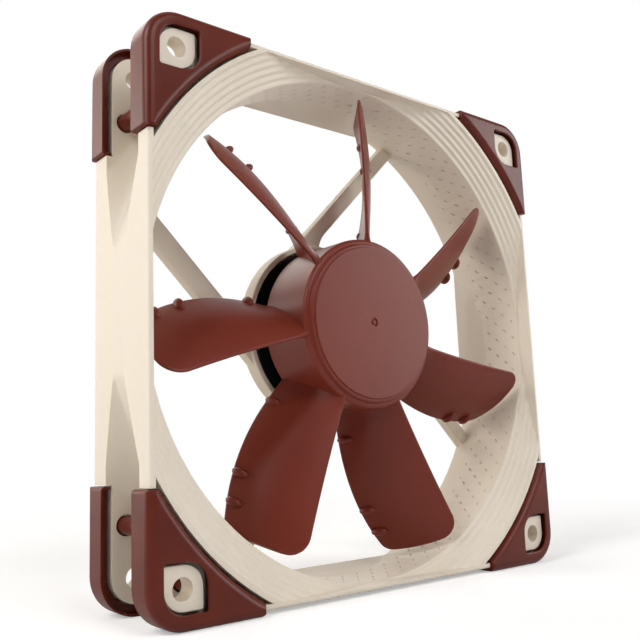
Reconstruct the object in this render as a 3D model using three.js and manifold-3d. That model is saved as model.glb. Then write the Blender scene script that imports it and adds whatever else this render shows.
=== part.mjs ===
// A 120 mm case fan, built as the assembly it is: a moulded frame with its motor base and struts,
// eight soft corner pads, a seven-blade impeller on its steel rotor cup, and the brushless motor
// inside the hub. Millimetres. The fan stands upright: X is its width, Z its height, and Y is the
// spin axis, with the intake face towards -Y and the exhaust face towards +Y.
import * as THREE from 'three';
import { mergeVertices } from 'three/addons/utils/BufferGeometryUtils.js';
import Module from 'manifold-3d';

const wasm = await Module();
wasm.setup();

// ---------- Driving dimensions ----------

// Overall envelope, over the pads
const FAN_SIZE = 120;              // width and height
const FAN_DEPTH = 26.4;            // along the spin axis; the frame alone is a nominal 25
const HOLE_SPACING = 105;          // screw holes, centre to centre
const SCREW_HOLE_D = 4.2;          // takes an M4 bolt or a 5 mm self-tapping fan screw

// Corner pads
const PAD_PROUD_SIDE = 1.0;        // how far a pad stands out of the frame's side
const PAD_PROUD_FACE = 1.1;        // how far a pad stands out of the frame's face
const PAD_PLATE = 2.8;             // thickness of the plate that lies on the flange
const PAD_RIM = 2.1;               // thickness of the rim that wraps round the side
const PAD_RIM_DEPTH = 6.6;         // how far the rim runs along the spin axis
const PAD_CORNER_R = 8;            // outer corner radius over a pad
const PAD_ARM_END = 35;            // an arm ends this far from the fan's middle
const PAD_EDGE_GAP = 0.5;          // open joint between a pad's hollow edge and the inlet ring
const PAD_END_GAP = 1.3;           // open joint past the end of an arm
const PAD_SEAT_GAP = 0.3;          // clearance between a pad and its flange
const PEG_D = 3.6;                 // pegs that pull through the flange
const PEG_FROM_SIDE = 5.4;         // peg centre, in from the fan's side
const PEG_FROM_END = 7.7;          // peg centre, in from the arm's end
const PEG_CLEARANCE = 0.3;         // radial, in its hole
const PEG_STICK_OUT = 6;           // length past the flange

// Leaf-shaped screw boss and the window that frames it
const BOSS_HALF = 4.25;
const BOSS_INSET = 0.2;            // the boss's centre lies this much nearer the middle than its hole
const BOSS_BELOW_PAD = 1.2;        // the boss face lies this far below the pad's face
const WINDOW_GAP_OUT = 0.3;        // towards the fan's corner
const WINDOW_GAP_IN = 0.45;        // towards the fan's middle

// Flanges and duct
const FRONT_FLANGE = 4.2;
const REAR_FLANGE = 5.6;
const DUCT_R = 58;                 // bore that the blades run in
const DUCT_WALL = 2.2;             // duct wall at the waist
const WAIST_FRONT = -1.2;          // the straight waist of the duct runs between these
const WAIST_REAR = 2.8;

// Stepped inlet and flared outlet
const STEP_COUNT = 5;
const STEP_RUN = 1.4;              // width of one tread
const STEP_HEIGHT = 0.7;
const INLET_RING = 1.2;            // land round the first step
const LIP_WALL = 0.9;              // thin lip left where a side cuts the steps
const OUTLET_LENGTH = 9.7;         // the flare runs this far in from the rear face
const OUTLET_FLARE = 2.8;          // and opens the bore by this much
const OUTLET_WALL = 2.2;           // wall left at the middle of each side, at the rear

// Impeller
const BLADE_COUNT = 7;
const TIP_CLEARANCE = 2;
const HUB_R = 20;
const HUB_WALL = 1.2;
const HUB_FACE = 1.7;              // thickness of the front face
const HUB_BELOW_FACE = 1.1;        // the hub's face lies this far behind the frame's front
const HUB_BASE_GAP = 3.3;          // open gap between the hub and the motor base
const HUB_STEP = 1.2;              // the front edge steps in by this much
const HUB_EDGE = 0.4;              // bevel on the hub's edges
const BLADE_ROOT_THICK = 1.9;
const BLADE_TIP_THICK = 1.3;
const BLADE_EDGE_SHARE = 0.45;     // thickness left at the blade's edges
const BLADE_CAMBER = 0.05;         // height of the blade's arch, as a share of its chord
const LEAD_ROOT_BACK = 1.4;        // leading edge, behind the hub's face
const LEAD_TIP_BACK = 0.3;
const TRAIL_TIP_AHEAD = 0.8;       // trailing edge at the tip, ahead of the hub's rear rim
const FIRST_BLADE = -13.7;         // degrees, root of the first blade's leading edge
const LEAD_SWEEP = 2.7;            // degrees that the leading edge runs ahead at the tip
const WRAP_ROOT = 23.9;            // degrees from there back to the trailing edge
const WRAP_TIP = 9.7;
const WRAP_EASE = 1.6;             // how late along the span the wrap falls off
const LEAD_CORNER_R = 5;           // rounding of the tip's corners
const TRAIL_CORNER_R = 1.8;

// Motor base and struts
const BASE_PROUD = 2.2;            // the base is this much larger than the hub, in radius
const BASE_DEPTH = 4.1;            // rim to rear face
const BASE_RIM = 1.3;
const BASE_FLOOR = 1.4;
const COLLAR_WALL = 1.2;           // stiffens the floor round the bearing tube
const BOARD_POST_R = 1.2;          // three posts that carry the circuit board
const BOARD_POST_FAR = 15;
const LABEL_LAND = 3;              // rim of the base left round the label
const LABEL_THICK = 0.25;
const STRUT_COUNT = 4;
const STRUT_INSET = 4.2;           // each strut's middle line passes this far inside the base's rim
const STRUT_WIDTH = 3.8;
const CABLE_STRUT_WIDTH = 5;       // one strut is wider, for the lead's channel
const STRUT_DEPTH = 3;
const CHANNEL_WIDTH = 3;
const CHANNEL_DEPTH = 1.8;

// Rotor and bearing
const RUNNING_GAP = 0.4;           // between magnet and stator
const FIT_GAP = 0.3;               // between seated pieces
const YOKE_WALL = 1;
const YOKE_EDGE = 0.5;             // bevel of the pressed cup
const YOKE_INSIDE_HUB = 0.5;       // the cup's rim lies this far inside the hub's
const MAGNET_WALL = 1.8;
const MAGNET_LENGTH = 10;
const MAGNET_INSIDE_HUB = 0.8;
const SHAFT_R = 1.5;
const SHAFT_END_COVER = 1.9;       // rear face of the frame to the end of the shaft
const SHAFT_TIP = 0.4;             // bevel at the shaft's end
const FERRULE_WALL = 1.4;
const FERRULE_LENGTH = 2.6;
const SOCKET_WALL = 1.5;
const CLIP_FROM_END = 1.2;         // the clip's groove, from the shaft's end
const CLIP_THICK = 0.4;
const CLIP_WALL = 1.3;
const CLIP_BITE = 0.2;             // how far the clip reaches into its groove
const CLIP_SLACK = 0.25;           // spare width of the groove on each side
const GROOVE_DEPTH = 0.45;
const BUSH_WALL = 1.8;
const BUSH_LENGTH = 12.3;
const BUSH_FROM_END = 2.3;
const TUBE_WALL = 0.9;
const TUBE_PAST_BUSH = 1.2;        // the tube reaches past the bush, round the oil seal
const TUBE_END_COVER = 0.4;        // rear face of the frame to the tube's closed end
const SEAL_THICK = 0.7;
const THRUST_THICK = 0.4;

// Stator and circuit board
const CORE_STACK = 6.2;            // thickness of the lamination stack
const CORE_INSIDE_MAGNET = 1.3;    // its rear lies this far inside the magnet's
const POLE_COUNT = 4;
const POLE_ANGLE = 74;             // degrees of arc that one pole shoe covers
const SHOE_THICK = 2.4;
const LEG_WIDTH = 4;
const YOKE_RING = 2;               // ring of laminations round the bearing tube
const INSULATOR_THICK = 0.7;
const INSULATOR_INSET = 0.3;
const INSULATOR_POST_R = 0.6;      // posts that hold the stator off the circuit board
const COIL_BUILD = 1.8;            // thickness of the winding
const COIL_ROUND = 1.2;
const BOARD_THICK = 1.2;
const BOARD_EDGE_GAP = 0.5;

// ---------- Worked-out places ----------

const HALF = FAN_SIZE / 2;
const FACE = FAN_DEPTH / 2;
const HOLE = HOLE_SPACING / 2;
const BOSS_AT = HOLE - BOSS_INSET;
const FRAME_HALF = HALF - PAD_PROUD_SIDE;
const FRAME_FRONT = -FACE + PAD_PROUD_FACE;
const FRAME_REAR = FACE - PAD_PROUD_FACE;
const FRONT_FLANGE_BACK = FRAME_FRONT + FRONT_FLANGE;
const REAR_FLANGE_BACK = FRAME_REAR - REAR_FLANGE;
const STEP_OUTER_R = DUCT_R + STEP_COUNT * STEP_RUN;
const THROAT_Y = FRAME_FRONT + STEP_COUNT * STEP_HEIGHT;
const FLANGE_ROOT_R = STEP_OUTER_R + INLET_RING;         // the duct's outside meets the flanges here
const OUTLET_START = FRAME_REAR - OUTLET_LENGTH;
const OUTLET_R = DUCT_R + OUTLET_FLARE;
const PAD_HOLLOW_R = FLANGE_ROOT_R + PAD_EDGE_GAP;
const RIM_INSIDE = HALF - PAD_RIM;
const RECESS_FLOOR = FACE - PAD_PLATE - PAD_SEAT_GAP;    // from the fan's middle plane
const PEG_ALONG = HALF - PEG_FROM_SIDE;
const PEG_ACROSS = PAD_ARM_END + PEG_FROM_END;
const BASE_R = HUB_R + BASE_PROUD;
const BASE_FRONT = FRAME_REAR - BASE_DEPTH;
const FLOOR_FRONT = FRAME_REAR - BASE_FLOOR;
const LABEL_R = BASE_R - LABEL_LAND;
const STRUT_OFFSET = BASE_R - STRUT_INSET;
const HUB_FRONT = FRAME_FRONT + HUB_BELOW_FACE;
const HUB_BACK = HUB_FRONT + HUB_FACE;
const HUB_REAR = BASE_FRONT - HUB_BASE_GAP;
const BLADE_ROOT_R = HUB_R - HUB_WALL / 2;
const BLADE_TIP_R = DUCT_R - TIP_CLEARANCE;
const YOKE_R = HUB_R - HUB_WALL - FIT_GAP;
const YOKE_FRONT = HUB_BACK + FIT_GAP;
const MAGNET_R = YOKE_R - YOKE_WALL - FIT_GAP;
const MAGNET_REAR = HUB_REAR - MAGNET_INSIDE_HUB;
const CORE_R = MAGNET_R - MAGNET_WALL - RUNNING_GAP;
const CORE_REAR = MAGNET_REAR - CORE_INSIDE_MAGNET;
const CORE_FRONT = CORE_REAR - CORE_STACK;
const SHAFT_REAR = FRAME_REAR - SHAFT_END_COVER;
const CLIP_Y = SHAFT_REAR - CLIP_FROM_END;
const FERRULE_IN_R = SHAFT_R + FIT_GAP;
const FERRULE_R = FERRULE_IN_R + FERRULE_WALL;
const SOCKET_IN_R = FERRULE_R + FIT_GAP;
const SOCKET_R = SOCKET_IN_R + SOCKET_WALL;
const BUSH_IN_R = SHAFT_R + FIT_GAP;
const BUSH_R = BUSH_IN_R + BUSH_WALL;
const BUSH_REAR = SHAFT_REAR - BUSH_FROM_END;
const BUSH_FRONT = BUSH_REAR - BUSH_LENGTH;
const TUBE_IN_R = BUSH_R + FIT_GAP;
const TUBE_R = TUBE_IN_R + TUBE_WALL;
const TUBE_SEAT_R = TUBE_R + FIT_GAP;                    // bore of everything seated on the tube
const TUBE_FRONT = BUSH_FRONT - TUBE_PAST_BUSH;
const TUBE_REAR = FRAME_REAR - TUBE_END_COVER;
const TUBE_FLOOR = SHAFT_REAR + FIT_GAP + THRUST_THICK + 0.1;
const BOARD_R = BASE_R - BASE_RIM - BOARD_EDGE_GAP;
const BOARD_FRONT = BASE_FRONT + FIT_GAP;
const BOARD_REAR = BOARD_FRONT + BOARD_THICK;

const SMOOTH = 48;                 // facets round the frame's circles
const MEDIUM = 32;                 // round the hub and base
const FINE = 16;                   // round the shaft, bearing and holes
const COARSE = 8;                  // round pegs and posts
const PAST = 1;                    // a cutter reaches this far past what it cuts
const SINK = 0.2;                  // a rib or post sinks this far into the wall it grows from

// ---------- Finishes ----------

function finish(hex, roughness, metalness = 0) {
  return { color: new THREE.Color(hex), roughness, metalness };
}

const FINISH = {
  frame: finish('#e3d6c4', 0.5),
  impeller: finish('#6b332d', 0.38),
  rubber: finish('#57302b', 0.62),
  steel: finish('#9a9a9c', 0.35, 1),
  magnet: finish('#2b2a2c', 0.6),
  brass: finish('#c2a052', 0.32, 1),
  bronze: finish('#a8794c', 0.5, 1),
  lamination: finish('#7d7f86', 0.45, 1),
  insulator: finish('#efe9dc', 0.55),
  copper: finish('#b4683a', 0.35, 1),
  board: finish('#18201b', 0.5),
  chip: finish('#1b1b1d', 0.45),
  capacitor: finish('#b59a6a', 0.5),
  slick: finish('#e8e8e4', 0.4),
  label: finish('#d9d9d6', 0.6),
};

// ---------- Geometry helpers ----------

function solid(geometry) {
  const bare = geometry.index ? geometry.toNonIndexed() : geometry;
  bare.deleteAttribute('normal');
  bare.deleteAttribute('uv');
  const merged = mergeVertices(bare, 1e-5);
  return new wasm.Manifold(new wasm.Mesh({
    numProp: 3,
    vertProperties: new Float32Array(merged.attributes.position.array),
    triVerts: new Uint32Array(merged.index.array),
  }));
}

function toGeometry(body) {
  const mesh = body.getMesh();
  const geometry = new THREE.BufferGeometry();
  geometry.setAttribute('position', new THREE.BufferAttribute(mesh.vertProperties.slice(), 3));
  geometry.setIndex(new THREE.BufferAttribute(mesh.triVerts.slice(), 1));
  geometry.computeVertexNormals();
  return geometry;
}

// A profile of [radius, y] points turned about the spin axis. It closes on itself.
function turned(profile, segments = MEDIUM) {
  const points = profile.map(([r, y]) => new THREE.Vector2(r, y));
  const area = points.reduce((sum, p, i) => {
    const q = points[(i + 1) % points.length];
    return sum + p.x * q.y - q.x * p.y;
  }, 0);
  if (area < 0) points.reverse();
  points.push(points[0].clone());
  return solid(new THREE.LatheGeometry(points, segments));
}

// A tube or washer about the spin axis, or a plain disc when its bore is 0.
function ring(outer, bore, front, rear, segments = MEDIUM) {
  if (bore > 0) {
    return turned([[bore, front], [outer, front], [outer, rear], [bore, rear]], segments);
  }
  const disc = new THREE.CylinderGeometry(outer, outer, rear - front, segments);
  disc.translate(0, (front + rear) / 2, 0);
  return solid(disc);
}

// An outline drawn in X and Z, pushed along Y from front to rear.
function slab(shape, front, rear, curveSegments = 5) {
  const geometry = new THREE.ExtrudeGeometry(shape, {
    depth: rear - front,
    bevelEnabled: false,
    curveSegments,
  });
  geometry.rotateX(Math.PI / 2);
  geometry.translate(0, rear, 0);
  return solid(geometry);
}

function rod(radius, x, z, front, rear, segments = FINE) {
  return ring(radius, 0, front, rear, segments).translate([x, 0, z]);
}

function block(width, depth, height, x, y, z) {
  const box = new THREE.BoxGeometry(width, depth, height);
  box.translate(x, y, z);
  return solid(box);
}

function joined(bodies) {
  return bodies.reduce((whole, body) => whole.add(body));
}

// Makes one solid at each of several places, evenly spaced round the spin axis.
function aroundAxis(count, far, make) {
  return Array.from({ length: count }, (_, i) => {
    const turn = (i * 2 * Math.PI) / count;
    return make(far * Math.cos(turn), far * Math.sin(turn));
  });
}

// A square outline with round corners.
function squareShape(half, cornerRadius) {
  const shape = new THREE.Shape();
  const flat = half - cornerRadius;
  shape.moveTo(-flat, -half);
  shape.lineTo(flat, -half);
  shape.absarc(flat, -flat, cornerRadius, -Math.PI / 2, 0);
  shape.lineTo(half, flat);
  shape.absarc(flat, flat, cornerRadius, 0, Math.PI / 2);
  shape.lineTo(-flat, half);
  shape.absarc(-flat, flat, cornerRadius, Math.PI / 2, Math.PI);
  shape.lineTo(-half, -flat);
  shape.absarc(-flat, -flat, cornerRadius, Math.PI, 1.5 * Math.PI);
  return shape;
}

// The leaf outline of a screw boss: a square whose outer and inner corners are fully round.
function leafShape(low, high, outerRadius, innerRadius) {
  const shape = new THREE.Shape();
  shape.moveTo(low + innerRadius, low);
  shape.lineTo(high, low);
  shape.lineTo(high, high - outerRadius);
  shape.absarc(high - outerRadius, high - outerRadius, outerRadius, 0, Math.PI / 2);
  shape.lineTo(low, high);
  shape.lineTo(low, low + innerRadius);
  shape.absarc(low + innerRadius, low + innerRadius, innerRadius, Math.PI, 1.5 * Math.PI);
  return shape;
}

// The L of a corner, from the arm's end round the outer corner and back along the hollow arc.
function cornerShape(outer, cornerRadius, armEnd, hollowRadius) {
  const shape = new THREE.Shape();
  const armInner = Math.sqrt(hollowRadius ** 2 - armEnd ** 2);
  const arcStart = Math.atan2(armEnd, armInner);
  shape.moveTo(armInner, armEnd);
  shape.lineTo(outer, armEnd);
  shape.lineTo(outer, outer - cornerRadius);
  shape.absarc(outer - cornerRadius, outer - cornerRadius, cornerRadius, 0, Math.PI / 2);
  shape.lineTo(armEnd, outer);
  shape.lineTo(armEnd, armInner);
  shape.absarc(0, 0, hollowRadius, Math.PI / 2 - arcStart, arcStart, true);
  return shape;
}

// Corners and faces: +1 or -1 on X and Z, and -1 for the front face or +1 for the rear.
const CORNERS = [
  ['top_left', -1, 1],
  ['top_right', 1, 1],
  ['bottom_right', 1, -1],
  ['bottom_left', -1, -1],
];

const FACES = [['front', -1], ['rear', 1]];

// Turns a solid made at the rear, top right corner into the one at another corner and face.
function atCorner(body, signX, signZ, face) {
  return body.scale([signX, face, signZ]);
}

const PEG_PLACES = [[PEG_ALONG, PEG_ACROSS], [PEG_ACROSS, PEG_ALONG]];

// ---------- Frame ----------

function ductAndFlanges() {
  const far = HALF * 1.5;
  const waist = DUCT_R + DUCT_WALL;
  const hollowFront = new THREE.QuadraticBezierCurve(
    new THREE.Vector2(FLANGE_ROOT_R, FRONT_FLANGE_BACK),
    new THREE.Vector2(waist + 1.6, FRONT_FLANGE_BACK / 2),
    new THREE.Vector2(waist, WAIST_FRONT),
  );
  const hollowRear = new THREE.QuadraticBezierCurve(
    new THREE.Vector2(waist, WAIST_REAR),
    new THREE.Vector2(waist + 1, (WAIST_REAR + REAR_FLANGE_BACK) / 2),
    new THREE.Vector2(FLANGE_ROOT_R, REAR_FLANGE_BACK),
  );
  const whole = turned([
    [DUCT_R, FRAME_FRONT],
    [far, FRAME_FRONT],
    [far, FRONT_FLANGE_BACK],
    ...hollowFront.getPoints(2).map((p) => [p.x, p.y]),
    ...hollowRear.getPoints(2).map((p) => [p.x, p.y]),
    [far, REAR_FLANGE_BACK],
    [far, FRAME_REAR],
    [DUCT_R, FRAME_REAR],
  ], SMOOTH);
  const cornerRadius = PAD_CORNER_R - PAD_PROUD_SIDE;
  return whole.intersect(slab(squareShape(FRAME_HALF, cornerRadius), FRAME_FRONT, FRAME_REAR));
}

// Five treads that lead from the front face down to the throat. A thin lip is left at each side.
function inletCut() {
  const inner = DUCT_R - PAST;
  const profile = [[inner, FRAME_FRONT - PAST], [STEP_OUTER_R, FRAME_FRONT - PAST]];
  for (let i = 0; i < STEP_COUNT; i += 1) {
    const tread = FRAME_FRONT + (i + 1) * STEP_HEIGHT;
    profile.push([STEP_OUTER_R - i * STEP_RUN, tread]);
    profile.push([STEP_OUTER_R - (i + 1) * STEP_RUN, tread]);
  }
  profile.push([inner, THROAT_Y]);
  const lipHalf = FRAME_HALF - LIP_WALL;
  const square = slab(squareShape(lipHalf, 2), FRAME_FRONT - 2 * PAST, THROAT_Y + PAST);
  return turned(profile, SMOOTH).intersect(square);
}

// Half-width of the square funnel that keeps a wall on each side of the flared outlet.
function funnelHalf(y) {
  const front = DUCT_R + SINK;
  const rear = FRAME_HALF - OUTLET_WALL;
  return THREE.MathUtils.lerp(front, rear, (y - OUTLET_START) / OUTLET_LENGTH);
}

function outletFunnel(rear) {
  const length = rear - OUTLET_START;
  const frontCorner = funnelHalf(OUTLET_START) * Math.SQRT2;
  const rearCorner = funnelHalf(rear) * Math.SQRT2;
  const funnel = new THREE.CylinderGeometry(rearCorner, frontCorner, length, 4);
  funnel.rotateY(Math.PI / 4);
  funnel.translate(0, OUTLET_START + length / 2, 0);
  return solid(funnel);
}

function outletCut() {
  const inner = DUCT_R - 3;
  const rear = FRAME_REAR + PAST;
  const cone = turned([
    [inner, OUTLET_START],
    [DUCT_R, OUTLET_START],
    [OUTLET_R, FRAME_REAR],
    [OUTLET_R, rear],
    [inner, rear],
  ], SMOOTH);
  return cone.intersect(outletFunnel(rear));
}

// Walls left in front of the bore at the rear, where the sides come closer than the duct.
function outletWalls() {
  const outer = slab(squareShape(FRAME_HALF - SINK, 2), OUTLET_START, FRAME_REAR);
  const walls = outer.subtract(outletFunnel(FRAME_REAR));
  return walls.intersect(ring(DUCT_R + PAST, 0, OUTLET_START, FRAME_REAR, SMOOTH));
}

// The recess that a pad fills at the rear, top right corner, round the boss that it leaves standing.
function padRecess() {
  const outline = cornerShape(HALF + 5, 1, PAD_ARM_END - PAD_END_GAP, FLANGE_ROOT_R);
  const plate = slab(outline, RECESS_FLOOR, FACE + PAST);
  const boss = slab(
    leafShape(BOSS_AT - BOSS_HALF, BOSS_AT + BOSS_HALF, BOSS_HALF, BOSS_HALF),
    RECESS_FLOOR - PAST,
    FACE - BOSS_BELOW_PAD,
  );
  const insideHalf = RIM_INSIDE - PAD_SEAT_GAP;
  const insideRadius = PAD_CORNER_R - PAD_RIM - PAD_SEAT_GAP;
  const inside = slab(squareShape(insideHalf, insideRadius), -FACE, FACE + 2 * PAST);
  const rim = slab(outline, 0, FACE + PAST).subtract(inside);
  return plate.subtract(boss).add(rim);
}

function motorBase() {
  const inner = BASE_R - BASE_RIM;
  const dish = turned([
    [0, FLOOR_FRONT],
    [inner, FLOOR_FRONT],
    [inner, BASE_FRONT],
    [BASE_R, BASE_FRONT],
    [BASE_R, FRAME_REAR],
    [0, FRAME_REAR],
  ]);
  const front = BOARD_REAR + FIT_GAP;
  const collar = ring(TUBE_SEAT_R + COLLAR_WALL, 0, front, FLOOR_FRONT + SINK);
  const posts = aroundAxis(3, BOARD_POST_FAR, (x, z) => (
    rod(BOARD_POST_R, x, z, front, FLOOR_FRONT + SINK, COARSE)));
  return joined([dish, collar, ...posts]);
}

function strutBar(width, index) {
  const reach = OUTLET_R + 1.5;
  const along = Math.sqrt(reach ** 2 - (STRUT_OFFSET + width / 2) ** 2);
  const bar = block(along, STRUT_DEPTH, width, -along / 2, FRAME_REAR - STRUT_DEPTH / 2, -STRUT_OFFSET);
  return bar.rotate([0, 45 + (index * 360) / STRUT_COUNT, 0]);
}

// The lead lies in this channel, from the motor base out to the wall of the duct.
function cableChannel() {
  const start = 6;
  const end = DUCT_R - PAST;
  const depth = CHANNEL_DEPTH + PAST;
  const bar = block(end - start, depth, CHANNEL_WIDTH, -(start + end) / 2,
    FRAME_REAR - CHANNEL_DEPTH + depth / 2, -STRUT_OFFSET);
  return bar.rotate([0, 45, 0]);
}

function frame() {
  let body = ductAndFlanges().add(outletWalls());
  body = body.subtract(inletCut()).subtract(outletCut());
  const recess = padRecess();
  const screwHole = rod(SCREW_HOLE_D / 2, HOLE, HOLE, -FACE - PAST, FACE + PAST);
  const pegHoles = PEG_PLACES.map(([x, z]) => (
    rod(PEG_D / 2 + PEG_CLEARANCE, x, z, -FACE - PAST, FACE + PAST, COARSE)));
  const holes = joined([screwHole, ...pegHoles]);
  for (const [, signX, signZ] of CORNERS) {
    for (const [, face] of FACES) {
      body = body.subtract(atCorner(recess, signX, signZ, face));
    }
    body = body.subtract(atCorner(holes, signX, signZ, 1));
  }
  for (let i = 0; i < STRUT_COUNT; i += 1) {
    body = body.add(strutBar(i === 0 ? CABLE_STRUT_WIDTH : STRUT_WIDTH, i));
  }
  body = body.subtract(ring(BASE_R - BASE_RIM, 0, BASE_FRONT - PAST, FLOOR_FRONT)).add(motorBase());
  body = body.subtract(rod(TUBE_SEAT_R, 0, 0, BASE_FRONT, FRAME_REAR + PAST));
  const labelFloor = FRAME_REAR - LABEL_THICK - FIT_GAP;
  body = body.subtract(ring(LABEL_R + FIT_GAP, 0, labelFloor, FRAME_REAR + PAST));
  return body.subtract(cableChannel());
}

// ---------- Corner pads ----------

// A pad at the rear, top right corner: plate, rim round the side, window for the boss, and two pegs.
function cornerPad(pegEnd) {
  const outline = cornerShape(HALF, PAD_CORNER_R, PAD_ARM_END, PAD_HOLLOW_R);
  const plateBack = FACE - PAD_PLATE;
  const plate = slab(outline, plateBack, FACE);
  const inside = slab(squareShape(RIM_INSIDE, PAD_CORNER_R - PAD_RIM), -FACE, FACE - PAD_PLATE / 2);
  const rim = slab(outline, FACE - PAD_RIM_DEPTH, FACE - PAD_PLATE / 2).subtract(inside);
  const window = slab(leafShape(
    BOSS_AT - BOSS_HALF - WINDOW_GAP_IN,
    BOSS_AT + BOSS_HALF + WINDOW_GAP_OUT,
    BOSS_HALF + WINDOW_GAP_OUT,
    BOSS_HALF + WINDOW_GAP_IN / 2,
  ), plateBack - PAST, FACE + PAST);
  const pegs = PEG_PLACES.map(([x, z]) => (
    rod(PEG_D / 2, x, z, pegEnd, plateBack + SINK, COARSE)));
  return joined([plate.subtract(window), rim, ...pegs]);
}

// ---------- Impeller ----------

// How much of a corner's rounding is trimmed off an edge at this radius.
function cornerTrim(radius, cornerRadius) {
  const into = Math.max(radius - (BLADE_TIP_R - cornerRadius), 0);
  return cornerRadius - Math.sqrt(Math.max(cornerRadius ** 2 - into ** 2, 0));
}

// The point of a blade at a share of its chord and span, and a share of its thickness either side.
function bladePoint(chord, span, side) {
  const { lerp, degToRad } = THREE.MathUtils;
  const radius = lerp(BLADE_TIP_R, BLADE_ROOT_R, (1 - span) ** 1.6);
  const reach = Math.max((radius - HUB_R) / (BLADE_TIP_R - HUB_R), 0);
  const lead = degToRad(LEAD_SWEEP * reach);
  const wrap = degToRad(lerp(WRAP_ROOT, WRAP_TIP, reach ** WRAP_EASE)) + lead;
  const leadY = HUB_FRONT + lerp(LEAD_ROOT_BACK, LEAD_TIP_BACK, reach);
  const trailY = HUB_REAR - TRAIL_TIP_AHEAD * reach;
  const arc = radius * wrap;
  const length = Math.hypot(arc, trailY - leadY);
  // Along the chord, and across it towards the suction side that faces the intake.
  const along = new THREE.Vector2(-arc, trailY - leadY).divideScalar(length);
  const across = new THREE.Vector2(-along.y, along.x);
  const from = cornerTrim(radius, LEAD_CORNER_R);
  const to = length - cornerTrim(radius, TRAIL_CORNER_R);
  const share = lerp(from, to, chord) / length;
  const bulge = 4 * BLADE_CAMBER * length * share * (1 - share);
  const slope = 4 * BLADE_CAMBER * (1 - 2 * share);
  const fullness = 2 * Math.sqrt(Math.max(chord * (1 - chord), 0));
  const thick = lerp(BLADE_ROOT_THICK, BLADE_TIP_THICK, reach) * lerp(BLADE_EDGE_SHARE, 1, fullness);
  const normal = across.clone().addScaledVector(along, -slope).normalize();
  const place = along.clone().multiplyScalar(share * length)
    .addScaledVector(across, bulge)
    .addScaledVector(normal, side * thick);
  return [radius, lead + place.x / radius, leadY + place.y];
}

function blade() {
  const chordSteps = 7;
  const spanSteps = 8;
  const sheet = new THREE.BoxGeometry(1, 1, 1, chordSteps, spanSteps, 1);
  const position = sheet.attributes.position;
  for (let i = 0; i < position.count; i += 1) {
    const chord = position.getX(i) + 0.5;
    const span = position.getY(i) + 0.5;
    const [radius, angle, y] = bladePoint(chord, span, position.getZ(i));
    position.setXYZ(i, radius * Math.cos(angle), y, radius * Math.sin(angle));
  }
  return solid(sheet);
}

// The hub: a cup with a stepped front edge, and a socket behind its face for the shaft's ferrule.
function hub() {
  const rimR = HUB_R - HUB_STEP;
  const inner = HUB_R - HUB_WALL;
  const socketRear = YOKE_FRONT + FERRULE_LENGTH;
  return turned([
    [0, HUB_FRONT],
    [rimR - HUB_EDGE, HUB_FRONT],
    [rimR, HUB_FRONT + HUB_EDGE],
    [rimR + HUB_EDGE / 2, HUB_FRONT + HUB_STEP - HUB_EDGE / 2],
    [HUB_R - HUB_EDGE, HUB_FRONT + HUB_STEP],
    [HUB_R, HUB_FRONT + HUB_STEP + HUB_EDGE],
    [HUB_R, HUB_REAR],
    [inner, HUB_REAR],
    [inner, HUB_BACK],
    [SOCKET_R, HUB_BACK],
    [SOCKET_R, socketRear],
    [SOCKET_IN_R, socketRear],
    [SOCKET_IN_R, HUB_BACK],
    [0, HUB_BACK],
  ]);
}

function impeller() {
  const one = blade();
  const blades = [];
  for (let i = 0; i < BLADE_COUNT; i += 1) {
    const degrees = FIRST_BLADE + (i * 360) / BLADE_COUNT;
    blades.push(one.rotate([0, -degrees, 0]));
  }
  const hollow = ring(HUB_R - HUB_WALL, 0, HUB_BACK, HUB_REAR + PAST);
  return hub().add(joined(blades).subtract(hollow));
}

// ---------- Rotor ----------

function rotorYoke() {
  const inner = YOKE_R - YOKE_WALL;
  const bore = SOCKET_R + FIT_GAP;
  const rear = HUB_REAR - YOKE_INSIDE_HUB;
  return turned([
    [bore, YOKE_FRONT],
    [YOKE_R - YOKE_EDGE, YOKE_FRONT],
    [YOKE_R, YOKE_FRONT + YOKE_EDGE],
    [YOKE_R, rear],
    [inner, rear],
    [inner, YOKE_FRONT + YOKE_WALL],
    [bore, YOKE_FRONT + YOKE_WALL],
  ]);
}

function rotorMagnet() {
  return ring(MAGNET_R, MAGNET_R - MAGNET_WALL, MAGNET_REAR - MAGNET_LENGTH, MAGNET_REAR);
}

function shaft() {
  const groove = SHAFT_R - GROOVE_DEPTH;
  const grooveFront = CLIP_Y - CLIP_THICK / 2 - CLIP_SLACK;
  const grooveRear = CLIP_Y + CLIP_THICK / 2 + CLIP_SLACK;
  return turned([
    [0, YOKE_FRONT],
    [SHAFT_R, YOKE_FRONT],
    [SHAFT_R, grooveFront],
    [groove, grooveFront],
    [groove, grooveRear],
    [SHAFT_R, grooveRear],
    [SHAFT_R, SHAFT_REAR - SHAFT_TIP],
    [SHAFT_R - SHAFT_TIP, SHAFT_REAR],
    [0, SHAFT_REAR],
  ], FINE);
}

function shaftFerrule() {
  return ring(FERRULE_R, FERRULE_IN_R, YOKE_FRONT, YOKE_FRONT + FERRULE_LENGTH, FINE);
}

// A split washer, open towards +X.
function shaftClip() {
  const bore = SHAFT_R - CLIP_BITE;
  const outer = bore + CLIP_WALL;
  const washer = ring(outer, bore, CLIP_Y - CLIP_THICK / 2, CLIP_Y + CLIP_THICK / 2, FINE);
  return washer.subtract(block(2 * outer, 2 * CLIP_THICK, 1.4 * bore, outer, CLIP_Y, 0));
}

// ---------- Bearing ----------

function bearingTube() {
  return turned([
    [TUBE_IN_R, TUBE_FRONT],
    [TUBE_R, TUBE_FRONT],
    [TUBE_R, TUBE_REAR],
    [0, TUBE_REAR],
    [0, TUBE_FLOOR],
    [TUBE_IN_R, TUBE_FLOOR],
  ], FINE);
}

function bearingBush() {
  return ring(BUSH_R, BUSH_IN_R, BUSH_FRONT, BUSH_REAR, FINE);
}

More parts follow.
